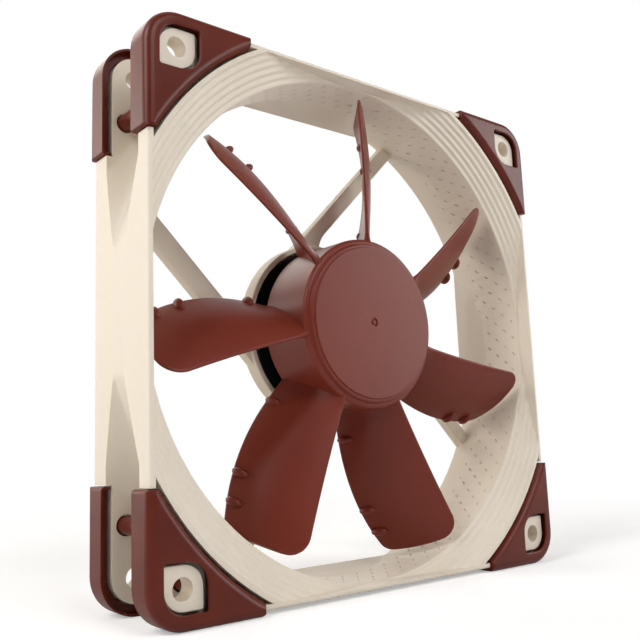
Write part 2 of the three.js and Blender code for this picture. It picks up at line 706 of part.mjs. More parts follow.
function oilSeal() {
  const rear = BUSH_FRONT - FIT_GAP;
  return ring(BUSH_R, BUSH_IN_R, rear - SEAL_THICK, rear, FINE);
}

function thrustPad() {
  const front = SHAFT_REAR + FIT_GAP;
  return ring(BUSH_R, 0, front, front + THRUST_THICK, FINE);
}

// ---------- Stator ----------

// The lamination outline, pushed from front to rear: a ring, with a leg and a shoe for each pole.
function poleStar(inset, front, rear) {
  const outer = CORE_R - inset;
  const shoeIn = CORE_R - SHOE_THICK + inset;
  const halfAngle = THREE.MathUtils.degToRad(POLE_ANGLE / 2) - inset / outer;
  const shoeShape = new THREE.Shape();
  shoeShape.absarc(0, 0, outer, -halfAngle, halfAngle);
  shoeShape.absarc(0, 0, shoeIn, halfAngle, -halfAngle, true);
  const shoe = slab(shoeShape, front, rear);
  const legLength = outer - SHOE_THICK / 2;
  const leg = block(legLength, rear - front, LEG_WIDTH - 2 * inset, legLength / 2, (front + rear) / 2, 0);
  const bodies = [ring(TUBE_SEAT_R + YOKE_RING - inset, 0, front, rear, FINE)];
  for (let i = 0; i < POLE_COUNT; i += 1) {
    bodies.push(shoe.add(leg).rotate([0, (i * 360) / POLE_COUNT, 0]));
  }
  return joined(bodies).subtract(ring(TUBE_SEAT_R, 0, front - PAST, rear + PAST, FINE));
}

function statorCore() {
  return poleStar(0, CORE_FRONT, CORE_REAR);
}

function frontInsulator() {
  const rear = CORE_FRONT - FIT_GAP;
  return poleStar(INSULATOR_INSET, rear - INSULATOR_THICK, rear);
}

function rearInsulator() {
  const front = CORE_REAR + FIT_GAP;
  const plate = poleStar(INSULATOR_INSET, front, front + INSULATOR_THICK);
  const posts = aroundAxis(POLE_COUNT, CORE_R - SHOE_THICK / 2, (x, z) => (
    rod(INSULATOR_POST_R, x, z, front + SINK, BOARD_FRONT - FIT_GAP, COARSE)));
  return joined([plate, ...posts]);
}

// A winding round one leg, with round corners. It fills the leg from the ring out to the shoe.
function statorCoil(index) {
  const innerHalf = LEG_WIDTH / 2 + FIT_GAP;
  const outerHalf = innerHalf + COIL_BUILD;
  const innerFront = CORE_FRONT - INSULATOR_THICK - 2 * FIT_GAP;
  const innerRear = CORE_REAR + INSULATOR_THICK + 2 * FIT_GAP;
  const front = innerFront - COIL_BUILD + COIL_ROUND;
  const rear = innerRear + COIL_BUILD - COIL_ROUND;
  const side = outerHalf - COIL_ROUND;
  const outline = new THREE.Shape();
  outline.absarc(side, rear, COIL_ROUND, 0, Math.PI / 2);
  outline.absarc(-side, rear, COIL_ROUND, Math.PI / 2, Math.PI);
  outline.absarc(-side, front, COIL_ROUND, Math.PI, 1.5 * Math.PI);
  outline.absarc(side, front, COIL_ROUND, 1.5 * Math.PI, 2 * Math.PI);
  const hole = new THREE.Path();
  hole.moveTo(-innerHalf, innerFront);
  hole.lineTo(-innerHalf, innerRear);
  hole.lineTo(innerHalf, innerRear);
  hole.lineTo(innerHalf, innerFront);
  outline.holes.push(hole);
  const start = TUBE_SEAT_R + YOKE_RING + FIT_GAP;
  const shoeRoom = CORE_R - SHOE_THICK - FIT_GAP;
  const end = Math.sqrt(shoeRoom ** 2 - outerHalf ** 2) - 0.1;
  const geometry = new THREE.ExtrudeGeometry(outline, {
    depth: end - start,
    bevelEnabled: false,
    curveSegments: 3,
  });
  geometry.translate(0, 0, start);
  return solid(geometry).rotate([0, 90 + (index * 360) / POLE_COUNT, 0]);
}

// ---------- Circuit board ----------

function circuitBoard() {
  return ring(BOARD_R, TUBE_SEAT_R, BOARD_FRONT, BOARD_REAR);
}

// A component that stands on the board: its size along X, Y and Z, its direction from the axis in
// degrees, and how far in from the board's edge it stands.
function onBoard(width, tall, height, degrees, inFromEdge) {
  const turn = THREE.MathUtils.degToRad(degrees);
  const far = BOARD_R - inFromEdge;
  const y = BOARD_FRONT - FIT_GAP - tall / 2;
  return block(width, tall, height, far * Math.cos(turn), y, far * Math.sin(turn));
}

function rearLabel() {
  return ring(LABEL_R, 0, FRAME_REAR - LABEL_THICK, FRAME_REAR);
}

// ---------- Assembly ----------

const fan = new THREE.Group();
fan.name = 'case_fan';

function place(group, name, body, look) {
  const mesh = new THREE.Mesh(toGeometry(body), new THREE.MeshStandardMaterial(look));
  mesh.name = name;
  group.add(mesh);
}

const housing = new THREE.Group();
const rotor = new THREE.Group();
fan.add(housing, rotor);

place(housing, 'frame', frame(), FINISH.frame);

// The front flange is thinner than the rear one, so a front pad's pegs are shorter.
const PAD_BY_FACE = {
  front: cornerPad(-FRONT_FLANGE_BACK - PEG_STICK_OUT),
  rear: cornerPad(REAR_FLANGE_BACK - PEG_STICK_OUT),
};
for (const [faceName, face] of FACES) {
  for (const [cornerName, signX, signZ] of CORNERS) {
    const body = atCorner(PAD_BY_FACE[faceName], signX, signZ, face);
    place(housing, `pad_${faceName}_${cornerName}`, body, FINISH.rubber);
  }
}

place(housing, 'bearing_tube', bearingTube(), FINISH.brass);
place(housing, 'bearing_bush', bearingBush(), FINISH.bronze);
place(housing, 'oil_seal', oilSeal(), FINISH.slick);
place(housing, 'thrust_pad', thrustPad(), FINISH.slick);
place(housing, 'stator_core', statorCore(), FINISH.lamination);
place(housing, 'insulator_front', frontInsulator(), FINISH.insulator);
place(housing, 'insulator_rear', rearInsulator(), FINISH.insulator);
for (let i = 0; i < POLE_COUNT; i += 1) {
  place(housing, `stator_coil_${i + 1}`, statorCoil(i), FINISH.copper);
}
place(housing, 'circuit_board', circuitBoard(), FINISH.board);
place(housing, 'driver_chip', onBoard(5, 1.4, 4, 225, 7.6), FINISH.chip);
place(housing, 'hall_sensor', onBoard(3, 3, 1.4, 45, 4), FINISH.chip);
place(housing, 'capacitor_1', onBoard(3, 1.5, 1.6, 311, 5.9), FINISH.capacitor);
place(housing, 'capacitor_2', onBoard(1.6, 1.3, 3, 143, 5.4), FINISH.capacitor);
place(housing, 'rear_label', rearLabel(), FINISH.label);

place(rotor, 'impeller', impeller(), FINISH.impeller);
place(rotor, 'rotor_yoke', rotorYoke(), FINISH.steel);
place(rotor, 'rotor_magnet', rotorMagnet(), FINISH.magnet);
place(rotor, 'shaft_ferrule', shaftFerrule(), FINISH.brass);
place(rotor, 'shaft', shaft(), FINISH.steel);
place(rotor, 'shaft_clip', shaftClip(), FINISH.slick);

export default fan;
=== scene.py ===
# %% [markdown]
# # A 120 mm case fan
# The fan is a pale frame, eight soft corner pads and a brown impeller round a small motor. The
# construction model already holds every piece at its true size. This lesson gives the pieces that
# show their finished surfaces: round edges, the blades' skin, the grain of the plastic.
#
# X is the fan's width, Z its height and Y the spin axis, with the intake side towards -Y.

import math

import bmesh
import bpy
from mathutils import Matrix, Vector


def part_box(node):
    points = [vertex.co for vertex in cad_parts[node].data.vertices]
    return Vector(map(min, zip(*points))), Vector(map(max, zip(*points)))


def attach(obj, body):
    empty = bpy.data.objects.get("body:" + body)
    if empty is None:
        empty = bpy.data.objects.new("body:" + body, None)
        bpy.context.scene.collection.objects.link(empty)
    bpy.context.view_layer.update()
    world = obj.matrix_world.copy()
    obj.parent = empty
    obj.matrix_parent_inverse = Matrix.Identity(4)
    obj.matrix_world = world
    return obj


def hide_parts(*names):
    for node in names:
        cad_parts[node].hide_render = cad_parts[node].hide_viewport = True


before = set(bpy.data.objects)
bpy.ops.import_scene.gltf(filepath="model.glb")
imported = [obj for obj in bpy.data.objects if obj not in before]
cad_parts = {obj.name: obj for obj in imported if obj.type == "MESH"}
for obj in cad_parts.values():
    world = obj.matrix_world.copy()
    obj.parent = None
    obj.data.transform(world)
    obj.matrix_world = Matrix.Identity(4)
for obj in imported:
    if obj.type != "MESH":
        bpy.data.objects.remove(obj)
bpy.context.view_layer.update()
boxes = [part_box(name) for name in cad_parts]
low = Vector([min(box[0][axis] for box in boxes) for axis in range(3)]) * 1000
high = Vector([max(box[1][axis] for box in boxes) for axis in range(3)]) * 1000
size = high - low
print("construction model, mm:", [round(side, 2) for side in size])

# %% [markdown]
# ## Sizes
# A drawing of a fan starts from its standard sizes: 120 mm wide, 25 mm deep, screw holes 105 mm
# apart. The overall sizes are read from the construction model, and the others are the same
# driving sizes that it was built from. Everything is in millimetres until a piece is finished.

# %% Overall sizes, pads and bosses
HALF = size.x / 2
FACE = size.y / 2
HOLE = 105 / 2
SCREW_HOLE_R = 2.1

PAD_PROUD_SIDE = 1.0
PAD_PROUD_FACE = 1.1
PAD_PLATE = 2.8
PAD_RIM = 2.1
PAD_RIM_DEPTH = 6.6
PAD_CORNER_R = 8.0
PAD_ARM_END = 34.5
PAD_END_GAP = 0.3
PAD_EDGE_GAP = 0.5
NOTCH_AT = 57.85      # beside an arm's end the recess runs on to a point, inside this distance
PAD_SEAT_GAP = 0.3
PEG_R = 1.8
PEG_PLACES = ((HALF - 5.4, PAD_ARM_END + 7.7), (PAD_ARM_END + 7.7, HALF - 5.4))
PEG_STICK_OUT = 6.0
PAD_EDGE_ROUND = 1.9
ARM_END_ROUND = 0.7
WINDOW_ROUND = 0.3
RIM_LIP = 0.5
RIM_GROOVE_DEPTH = 1.6
BOSS_HALF = 4.25
BOSS_AT = HOLE - 0.2
BOSS_BELOW_PAD = 1.2
WINDOW_LIP = 0.4      # the window widens behind a lip this thick
WINDOW_UNDERCUT = 0.9
WINDOW_GAP_OUT = 0.3
WINDOW_GAP_IN = 0.45

FRAME_HALF = HALF - PAD_PROUD_SIDE
FRAME_FRONT = -FACE + PAD_PROUD_FACE
FRAME_REAR = FACE - PAD_PROUD_FACE
FRONT_FLANGE_BACK = FRAME_FRONT + 4.2
REAR_FLANGE_BACK = FRAME_REAR - 5.6
print("frame is", 2 * FRAME_HALF, "mm wide under its pads")

# %% Duct, motor base and impeller
DUCT_R = 58.0
WAIST_R = 60.2
STEP_COUNT = 5
STEP_RUN = 1.4
STEP_HEIGHT = 0.7
STEP_OUTER_R = DUCT_R + STEP_COUNT * STEP_RUN
FLANGE_ROOT_R = STEP_OUTER_R + 1.2
LIP_WALL = 0.9
OUTLET_LENGTH = 9.7
OUTLET_START = FRAME_REAR - OUTLET_LENGTH
OUTLET_R = DUCT_R + 2.8
OUTLET_WALL = 2.2

HUB_R = 20.0
HUB_WALL = 1.2
HUB_FRONT = FRAME_FRONT + 1.1
HUB_BACK = HUB_FRONT + 1.7
BASE_R = HUB_R + 2.2
BASE_RIM = 1.3
BASE_FRONT = FRAME_REAR - 4.1
FLOOR_FRONT = FRAME_REAR - 1.4
HUB_REAR = BASE_FRONT - 3.3
LABEL_R = BASE_R - 3.0
LABEL_THICK = 0.25
TUBE_SEAT_R = 5.1
STRUT_OFFSET = BASE_R - 4.2
STRUT_WIDTH = 3.8
CABLE_STRUT_WIDTH = 5.0
STRUT_DEPTH = 3.0

BLADE_COUNT = 7
BLADE_TIP_R = DUCT_R - 2.0
BLADE_ROOT_R = HUB_R - HUB_WALL / 2
PAST = 1.0           # a cutter reaches this far past what it cuts
WELL_CLEAR = 5.0     # and this far where it has to clear the fan's outside
SINK = 0.2           # an added shape sinks this far into the wall it grows from
print("blade tips run", DUCT_R - BLADE_TIP_R, "mm inside the duct")

# %% [markdown]
# ## Camera
# The camera comes first, so that every later step can be judged from where it will be seen. It
# stands close to the fan, a little below its middle, and looks up past its left corner. A small
# sideways shift puts the fan in the middle of the picture without turning the camera.

# %% Camera
camera_data = bpy.data.cameras.new("camera")
camera_data.sensor_width = 36
camera_data.lens = 44.24
camera_data.shift_x = 0.0639
camera_data.shift_y = -0.0035
camera_data.clip_start = 0.01
camera = bpy.data.objects.new("camera", camera_data)
bpy.context.scene.collection.objects.link(camera)
right = Vector((0.79663, -0.60369, -0.03074)).normalized()
forward = Vector((0.60061, 0.78477, 0.15297)).normalized()
up = right.cross(forward)
turn = Matrix((right, up, -forward)).transposed().to_4x4()
camera.matrix_world = Matrix.Translation((-0.127386, -0.141015, -0.026213)) @ turn
bpy.context.scene.camera = camera
print("camera is", round(camera.location.length * 1000), "mm from the fan's middle")

# %% [markdown]
# ## Helpers for shapes
# Moulded plastic has no sharp corner: each one is a small arc. So an outline is written as its
# corners, each with a radius, and one helper turns the round ones into arcs. The same outline can
# then be spun round the fan's axis or pushed along it. The other way, to bevel the finished mesh,
# fails where many small edges meet, as they do on the stepped inlet.

# %% Outlines
def mix(a, b, share):
    return a + (b - a) * share


def arc(centre, radius, start, end, steps):
    """Points of an arc, with its angles in degrees."""
    points = []
    for i in range(steps + 1):
        angle = math.radians(start + (end - start) * i / steps)
        points.append((centre[0] + radius * math.cos(angle), centre[1] + radius * math.sin(angle)))
    return points


def rounded(corners, steps=4):
    """An outline from its corners, each as (u, v) or, where it is round, (u, v, radius)."""
    points = []
    for i, corner in enumerate(corners):
        here = Vector(corner[:2])
        if len(corner) == 2:
            points.append(tuple(here))
            continue
        before = (Vector(corners[i - 1][:2]) - here).normalized()
        after = (Vector(corners[(i + 1) % len(corners)][:2]) - here).normalized()
        half = math.acos(max(-1.0, min(1.0, before.dot(after)))) / 2
        radius = corner[2]
        centre = here + (before + after).normalized() * radius / math.sin(half)
        start = here + before * radius / math.tan(half) - centre
        end = here + after * radius / math.tan(half) - centre
        first = math.degrees(math.atan2(start.y, start.x))
        sweep = math.degrees(math.atan2(end.y, end.x)) - first
        sweep = (sweep + 180) % 360 - 180
        points += arc(centre, radius, first, first + sweep, steps)
    return points


def square(half, corner_radius, steps=12):
    """A square outline with round corners, about the fan's axis."""
    signs = ((-1, -1), (1, -1), (1, 1), (-1, 1))
    return rounded([(x * half, z * half, corner_radius) for x, z in signs], steps)


print("a round square has", len(square(FRAME_HALF, 7)), "points")

# %% Solids
def tidy(bm):
    """Merges doubled points and turns every face outwards."""
    bmesh.ops.remove_doubles(bm, verts=bm.verts, dist=1e-4)
    bmesh.ops.recalc_face_normals(bm, faces=bm.faces)
    return bm


def spun(points, steps=128):
    """An outline of (radius, y) points, turned once round the fan's axis.

    An outline that starts and ends on the axis is left open there, as the turn closes it.
    """
    bm = bmesh.new()
    verts = [bm.verts.new((radius, y, 0)) for radius, y in points]
    edges = [bm.edges.new(pair) for pair in zip(verts, verts[1:])]
    if points[0][0] > 0 or points[-1][0] > 0:
        edges.append(bm.edges.new((verts[-1], verts[0])))
    bmesh.ops.spin(bm, geom=verts + edges, cent=(0, 0, 0), axis=(0, 1, 0), angle=math.tau,
                   steps=steps, use_merge=True)
    bmesh.ops.dissolve_degenerate(bm, dist=1e-5, edges=bm.edges)
    return tidy(bm)


def pushed(points, front, rear):
    """An outline of (x, z) points, pushed along Y from front to rear."""
    bm = bmesh.new()
    verts = [bm.verts.new((x, front, z)) for x, z in points]
    face = bm.faces.new(verts)
    grown = bmesh.ops.extrude_face_region(bm, geom=[face], use_keep_orig=True)["geom"]
    moved = [part for part in grown if isinstance(part, bmesh.types.BMVert)]
    bmesh.ops.translate(bm, verts=moved, vec=(0, rear - front, 0))
    return tidy(bm)


def lofted(layers):
    """Outlines with equally many points, each at its depth (y, points), joined into a solid."""
    bm = bmesh.new()
    loops = []
    for y, points in layers:
        verts = [bm.verts.new((x, y, z)) for x, z in points]
        loops.append([bm.edges.new(pair) for pair in zip(verts, verts[1:] + verts[:1])])
    for near, far in zip(loops, loops[1:]):
        bmesh.ops.bridge_loops(bm, edges=near + far)
    for loop in (loops[0], loops[-1]):
        bmesh.ops.contextual_create(bm, geom=loop)
    return tidy(bm)


def edge_rounded(outline_at, start, top, radius, sign, steps=6):
    """A prism whose outline shrinks (sign -1) or flares (sign 1) in an arc up to its top face.

    The outline is a function of how far it has grown.
    """
    layers = [(start, outline_at(0))]
    for i in range(steps + 1):
        angle = math.radians(90 * i / steps)
        grown = sign * radius * (1 - math.cos(angle))
        layers.append((top - radius + radius * math.sin(angle), outline_at(grown)))
    if sign > 0:
        layers.append((top + PAST, outline_at(radius)))
    return lofted(layers)


def block(width, depth, height, centre):
    """A box by its sizes along X, Y and Z."""
    bm = bmesh.new()
    bmesh.ops.create_cube(bm, size=1)
    bmesh.ops.scale(bm, verts=bm.verts, vec=(width, depth, height))
    bmesh.ops.translate(bm, verts=bm.verts, vec=centre)
    return bm


def moved(bm, matrix):
    """A copy of a solid, turned, mirrored or shifted by a matrix."""
    copy = bm.copy()
    bmesh.ops.transform(copy, matrix=matrix, verts=copy.verts)
    if matrix.determinant() < 0:
        bmesh.ops.reverse_faces(copy, faces=copy.faces)
    return copy


def gathered(solids):
    """Several solids that don't touch, as one mesh."""
    whole = bmesh.new()
    for solid in solids:
        mesh = bpy.data.meshes.new("gathered")
        solid.to_mesh(mesh)
        whole.from_mesh(mesh)
        bpy.data.meshes.remove(mesh)
    return whole


def turned_about_y(degrees):
    """A turn about the spin axis, counter-clockwise as seen from the intake side."""
    return Matrix.Rotation(-math.radians(degrees), 4, "Y")


# %% [markdown]
# A frame is one moulding, so its flanges, duct and struts have to become one skin. Joining and
# cutting whole solids with a Boolean modifier does that. The manifold solver is the quick one, and
# it needs what every solid here is: closed, with its faces outwards.

# %% Joining and cutting
def combined(solid, other, how):
    """The solid after a Boolean with another: UNION, DIFFERENCE or INTERSECT.

    Only triangles go in, as a face with many corners could come out folded over a hole.
    """
    objects = []
    for part in (solid, other):
        bmesh.ops.triangulate(part, faces=part.faces)
        mesh = bpy.data.meshes.new("part")
        part.to_mesh(mesh)
        obj = bpy.data.objects.new("part", mesh)
        bpy.context.scene.collection.objects.link(obj)
        objects.append(obj)
    cut = objects[0].modifiers.new("cut", "BOOLEAN")
    cut.operation = how
    cut.solver = "MANIFOLD"
    cut.object = objects[1]
    graph = bpy.context.evaluated_depsgraph_get()
    result = bmesh.new()
    result.from_object(objects[0], graph)
    for obj in objects:
        mesh = obj.data
        bpy.data.objects.remove(obj)
        bpy.data.meshes.remove(mesh)
    return result


def bevelled(bm, offset, segments, chosen):
    """Rounds the edges that a test chooses."""
    edges = [edge for edge in bm.edges if chosen(edge)]
    bmesh.ops.bevel(bm, geom=edges, offset=offset, offset_type="OFFSET", affect="EDGES",
                    segments=segments, profile=0.5, material=-1, clamp_overlap=True)
    return bm


def is_sharp(edge, degrees=40):
    return len(edge.link_faces) == 2 and edge.calc_face_angle(0) > math.radians(degrees)


def lies_at(edge, y):
    return all(abs(vert.co.y - y) < 1e-3 for vert in edge.verts)


# %% [markdown]
# A finished piece goes into the scene in metres, with its place in its mesh. Small arcs shade as
# one surface, and edges sharper than the angle given stay crisp. Weighted normals keep the large
# flat faces flat right up to their round edges.

# %% Finishing a piece
SMOOTH_BELOW = math.radians(38)
MERGE_WITHIN = 0.004      # points closer than this are one, and edges shorter than this go


def finished(name, bm, material, body, nodes):
    """Makes the object of a solid, lets it ride on its body and hides the CAD nodes it stands for."""
    bmesh.ops.remove_doubles(bm, verts=bm.verts, dist=MERGE_WITHIN)
    bmesh.ops.dissolve_degenerate(bm, dist=MERGE_WITHIN, edges=bm.edges)
    mesh = bpy.data.meshes.new(name)
    bmesh.ops.scale(bm, verts=bm.verts, vec=(0.001, 0.001, 0.001))
    bm.to_mesh(mesh)
    bm.free()
    mesh.shade_smooth()
    mesh.set_sharp_from_angle(angle=SMOOTH_BELOW)
    mesh.materials.append(material)
    piece = bpy.data.objects.new(name, mesh)
    bpy.context.scene.collection.objects.link(piece)
    weights = piece.modifiers.new("even_faces", "WEIGHTED_NORMAL")
    weights.keep_sharp = True
    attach(piece, body)
    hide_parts(*nodes)
    triangles = sum(len(face.vertices) - 2 for face in mesh.polygons)
    print(name, triangles, "triangles")
    return piece


# %% [markdown]
# ## Helpers for finishes
# A finish is a small network of nodes. One function adds a node, with its settings and what goes
# into it, so that each material below reads as a recipe. No real surface has one even colour or
# gloss, so two more let a colour and a value drift with a noise.

# %% Nodes and colours
def linear(hex_colour):
    """An sRGB hex colour as the linear colour that a shader takes."""
    channels = [int(hex_colour[i:i + 2], 16) / 255 for i in (1, 3, 5)]
    return [c / 12.92 if c <= 0.04045 else ((c + 0.055) / 1.055) ** 2.4 for c in channels] + [1.0]


def add(tree, kind, settings=None, **inputs):
    """Adds a node. An input is a value, or the socket that is linked to it."""
    made = tree.nodes.new(kind)
    for key, value in (settings or {}).items():
        setattr(made, key, value)
    for key, value in inputs.items():
        socket = made.inputs[int(key[1:])] if key[0] == "n" and key[1:].isdigit() else made.inputs[
            key.replace("_", " ")]
        if isinstance(value, bpy.types.NodeSocket):
            tree.links.new(value, socket)
        else:
            socket.default_value = value
    return made


def new_material(name):
    material = bpy.data.materials.new(name)
    material.use_nodes = True
    tree = material.node_tree
    tree.nodes.clear()
    place = add(tree, "ShaderNodeTexCoord").outputs["Object"]
    return material, tree, place


def finish_material(tree, surface):
    add(tree, "ShaderNodeOutputMaterial", Surface=surface.outputs[0])


def mm(length):
    """The scale of a noise whose features are this many millimetres across."""
    return 1000 / length


def two_tones(tree, amount, dark, dark_at, light, light_at):
    """A colour that drifts from a dark tone to a light one as an amount rises."""
    ramp = add(tree, "ShaderNodeValToRGB", Fac=amount)
    for stop, tone, at in zip(ramp.color_ramp.elements, (dark, light), (dark_at, light_at)):
        stop.position = at
        stop.color = linear(tone)
    return ramp.outputs[0]


def drifting(tree, noise, low, high):
    """A value that drifts between two. Nearly all of a noise lies between 0.3 and 0.7."""
    span = add(tree, "ShaderNodeMapRange", Value=noise.outputs["Fac"], From_Min=0.3, From_Max=0.7,
               To_Min=low, To_Max=high)
    return span.outputs[0]


# %% [markdown]
# ## Moulded plastic
# The frame and the impeller are glass-filled PBT, moulded in a spark-eroded steel tool. The eye sees
# three things: a fine even grain from the tool, slow cloudiness in the colour where the melt flowed,
# and a gloss that drifts with it over the face. Two noises mix for the colour, and a third is the
# grain.

# %% Moulded plastic
def moulded_plastic(name, light, dark, roughness, grain_mm, depth_mm, shine):
    material, tree, place = new_material(name)
    clouds = add(tree, "ShaderNodeTexNoise", Vector=place, Scale=mm(28), Detail=3.0)
    speckle = add(tree, "ShaderNodeTexNoise", Vector=place, Scale=mm(1.3), Detail=2.0)
    both = add(tree, "ShaderNodeMath", {"operation": "MULTIPLY_ADD"}, n0=speckle.outputs["Fac"],
               n1=0.25, n2=clouds.outputs["Fac"])
    colour = two_tones(tree, both.outputs[0], dark, 0.4, light, 0.85)
    gloss = drifting(tree, clouds, roughness - 0.04, roughness + 0.05)
    grain = add(tree, "ShaderNodeTexNoise", Vector=place, Scale=mm(grain_mm), Detail=2.0)
    bump = add(tree, "ShaderNodeBump", Strength=0.5, Distance=depth_mm / 1000,
               Height=grain.outputs["Fac"])
    surface = add(tree, "ShaderNodeBsdfPrincipled", Base_Color=colour, Roughness=gloss, IOR=1.5,
                  Normal=bump.outputs[0])
    surface.inputs["Specular IOR Level"].default_value = shine
    finish_material(tree, surface)
    return material


# The grain of a satin tool is about 0.1 mm. It is drawn at 0.35 and 0.5 mm, so that it shows.
beige_pbt = moulded_plastic("beige_pbt_moulded", "#E9DECE", "#E1D5C3", 0.5, 0.35, 0.012, 0.5)
brown_pbt = moulded_plastic("brown_pbt_moulded", "#7B3223", "#702B1E", 0.36, 0.5, 0.020, 0.3)
print("moulded plastics:", beige_pbt.name, brown_pbt.name)

# %% [markdown]
# ## Silicone rubber
# The pads are soft silicone, a deep red brown. Its low index gives a weak shine, which shows as a
# soft highlight along the round edges, and only at a grazing look does a face turn pale.

# %% Silicone rubber
def silicone(name, light, dark):
    material, tree, place = new_material(name)
    clouds = add(tree, "ShaderNodeTexNoise", Vector=place, Scale=mm(9), Detail=4.0)
    colour = two_tones(tree, clouds.outputs["Fac"], dark, 0.35, light, 0.7)
    dust = add(tree, "ShaderNodeTexNoise", Vector=place, Scale=mm(0.5), Detail=3.0)
    gloss = drifting(tree, dust, 0.31, 0.38)
    bump = add(tree, "ShaderNodeBump", Strength=0.15, Distance=0.00001, Height=dust.outputs["Fac"])
    surface = add(tree, "ShaderNodeBsdfPrincipled", Base_Color=colour, Roughness=gloss, IOR=1.43,
                  Normal=bump.outputs[0])
    surface.inputs["Specular IOR Level"].default_value = 0.35
    finish_material(tree, surface)
    return material


pad_silicone = silicone("brown_silicone_rubber", "#652312", "#581B0D")
print("rubber:", pad_silicone.name)

# %% [markdown]
# ## The frame
# The frame starts as a section, spun round the axis: two flanges with the waisted duct between
# them. It is then cropped to a square with round corners, whose long edges are already rounded.
# The other way, a box with a hole bored in it, wouldn't give the waist.

# %% Flanges and duct
WAIST_FRONT = -1.2    # the duct's narrow stretch, between the bends that run out to the flanges
WAIST_REAR = 2.8
BEND_STEPS = 8


def flanges_and_duct():
    far = HALF * 1.5
    section = [(DUCT_R, FRAME_FRONT), (far, FRAME_FRONT), (far, FRONT_FLANGE_BACK)]
    front_bend = [(FLANGE_ROOT_R, FRONT_FLANGE_BACK), (WAIST_R + 1.6, FRONT_FLANGE_BACK / 2),
                  (WAIST_R, WAIST_FRONT)]
    rear_bend = [(WAIST_R, WAIST_REAR), (WAIST_R + 1, (WAIST_REAR + REAR_FLANGE_BACK) / 2),
                 (FLANGE_ROOT_R, REAR_FLANGE_BACK)]
    for start, middle, end in (front_bend, rear_bend):
        for i in range(BEND_STEPS + 1):
            t = i / BEND_STEPS
            section.append(tuple(
                (1 - t) ** 2 * a + 2 * t * (1 - t) * b + t * t * c
                for a, b, c in zip(start, middle, end)))
    section += [(far, REAR_FLANGE_BACK), (far, FRAME_REAR), (DUCT_R, FRAME_REAR)]
    plate = pushed(square(FRAME_HALF, PAD_CORNER_R - PAD_PROUD_SIDE), FRAME_FRONT, FRAME_REAR)
    plate = bevelled(plate, 0.6, 4, lambda edge: (
        lies_at(edge, FRAME_FRONT) or lies_at(edge, FRAME_REAR)))
    return combined(spun(section, 192), plate, "INTERSECT")


shell = flanges_and_duct()
print("shell:", len(shell.faces), "faces")

# %% [markdown]
# The inlet is a flight of five shallow steps. They are turned with a small radius on each nose and
# in each corner, so that they read as soft waves, and stop at the sides, where they leave a thin
# lip. The outlet flares into a square funnel, so that each side keeps its wall at the rear.

# %% Inlet steps
STEP_LEAN = 0.25      # each rise leans over by this much on either side
STEP_ROUND = 0.6


def inlet_steps():
    inner = DUCT_R - PAST
    corners = [(inner, FRAME_FRONT - PAST), (STEP_OUTER_R + 0.25, FRAME_FRONT - PAST)]
    corners.append((STEP_OUTER_R + 0.25, FRAME_FRONT - 0.02))
    for i in range(STEP_COUNT):
        y = FRAME_FRONT + (i + 1) * STEP_HEIGHT
        outer = STEP_OUTER_R - i * STEP_RUN
        if i == 0:
            corners.append((outer, FRAME_FRONT + 0.25))
        corners.append((outer - STEP_LEAN, y, STEP_ROUND))
        corners.append((outer - STEP_RUN + STEP_LEAN, y, STEP_ROUND))
    corners[-1] = (DUCT_R, corners[-1][1], 0.5)
    corners.append((DUCT_R, corners[-1][1] + 1.0))
    corners.append((inner, corners[-1][1]))
    cut = spun(rounded(corners, 4), 192)
    lip = pushed(square(FRAME_HALF - LIP_WALL, 2), FRAME_FRONT - 2 * PAST, OUTLET_START)
    return combined(cut, lip, "INTERSECT")


steps = inlet_steps()
print("steps:", len(steps.faces), "faces")

# %% Outlet flare
OUTLET_SLOPE = (OUTLET_R - DUCT_R) / OUTLET_LENGTH
FUNNEL_FRONT = OUTLET_START - PAST


def funnel_half(y):
    """Half-width of the square funnel at a depth."""
    share = (y - OUTLET_START) / OUTLET_LENGTH
    return mix(DUCT_R + SINK, FRAME_HALF - OUTLET_WALL, share)


def funnel(rear):
    bm = bmesh.new()
    corner = math.sqrt(2)
    bmesh.ops.create_cone(bm, cap_ends=True, cap_tris=False, segments=4,
                          radius1=funnel_half(FUNNEL_FRONT) * corner,
                          radius2=funnel_half(rear) * corner, depth=rear - FUNNEL_FRONT)
    lay = Matrix.Translation((0, (FUNNEL_FRONT + rear) / 2, 0)) @ Matrix.Rotation(
        -math.pi / 2, 4, "X") @ Matrix.Rotation(math.pi / 4, 4, "Z")
    bmesh.ops.transform(bm, matrix=lay, verts=bm.verts)
    return tidy(bm)


def outlet_flare():
    """A cone that crosses the duct's wall at a slant, so that the cut leaves no slivers."""
    rear = FRAME_REAR + PAST
    inner = DUCT_R - 3
    cone = spun([(inner, FUNNEL_FRONT), (DUCT_R - OUTLET_SLOPE * PAST, FUNNEL_FRONT),
                 (OUTLET_R + OUTLET_SLOPE * PAST, rear), (inner, rear)], 192)
    return combined(cone, funnel(rear), "INTERSECT")


def outlet_walls():
    rounding = 0.7
    outer = pushed(square(FRAME_HALF - rounding, 2), OUTLET_START, FRAME_REAR)
    walls = combined(outer, funnel(FRAME_REAR + PAST), "DIFFERENCE")
    disc = spun([(0, FUNNEL_FRONT), (DUCT_R + PAST, FUNNEL_FRONT),
                 (DUCT_R + PAST, FRAME_REAR + PAST), (0, FRAME_REAR + PAST)], 192)
    return combined(walls, disc, "INTERSECT")


shell = combined(shell, outlet_walls(), "UNION")
shell = combined(shell, gathered([steps, outlet_flare()]), "DIFFERENCE")
print("bored shell:", len(shell.faces), "faces")

# %% [markdown]
# ## Corner recesses and bosses
# Each pad lies in a recess that follows the inlet ring. In the middle of it stands the screw boss,
# a leaf with two round corners. Recess and boss are made once, for the corner at the top right of
# the rear, and mirrored to the other seven places.

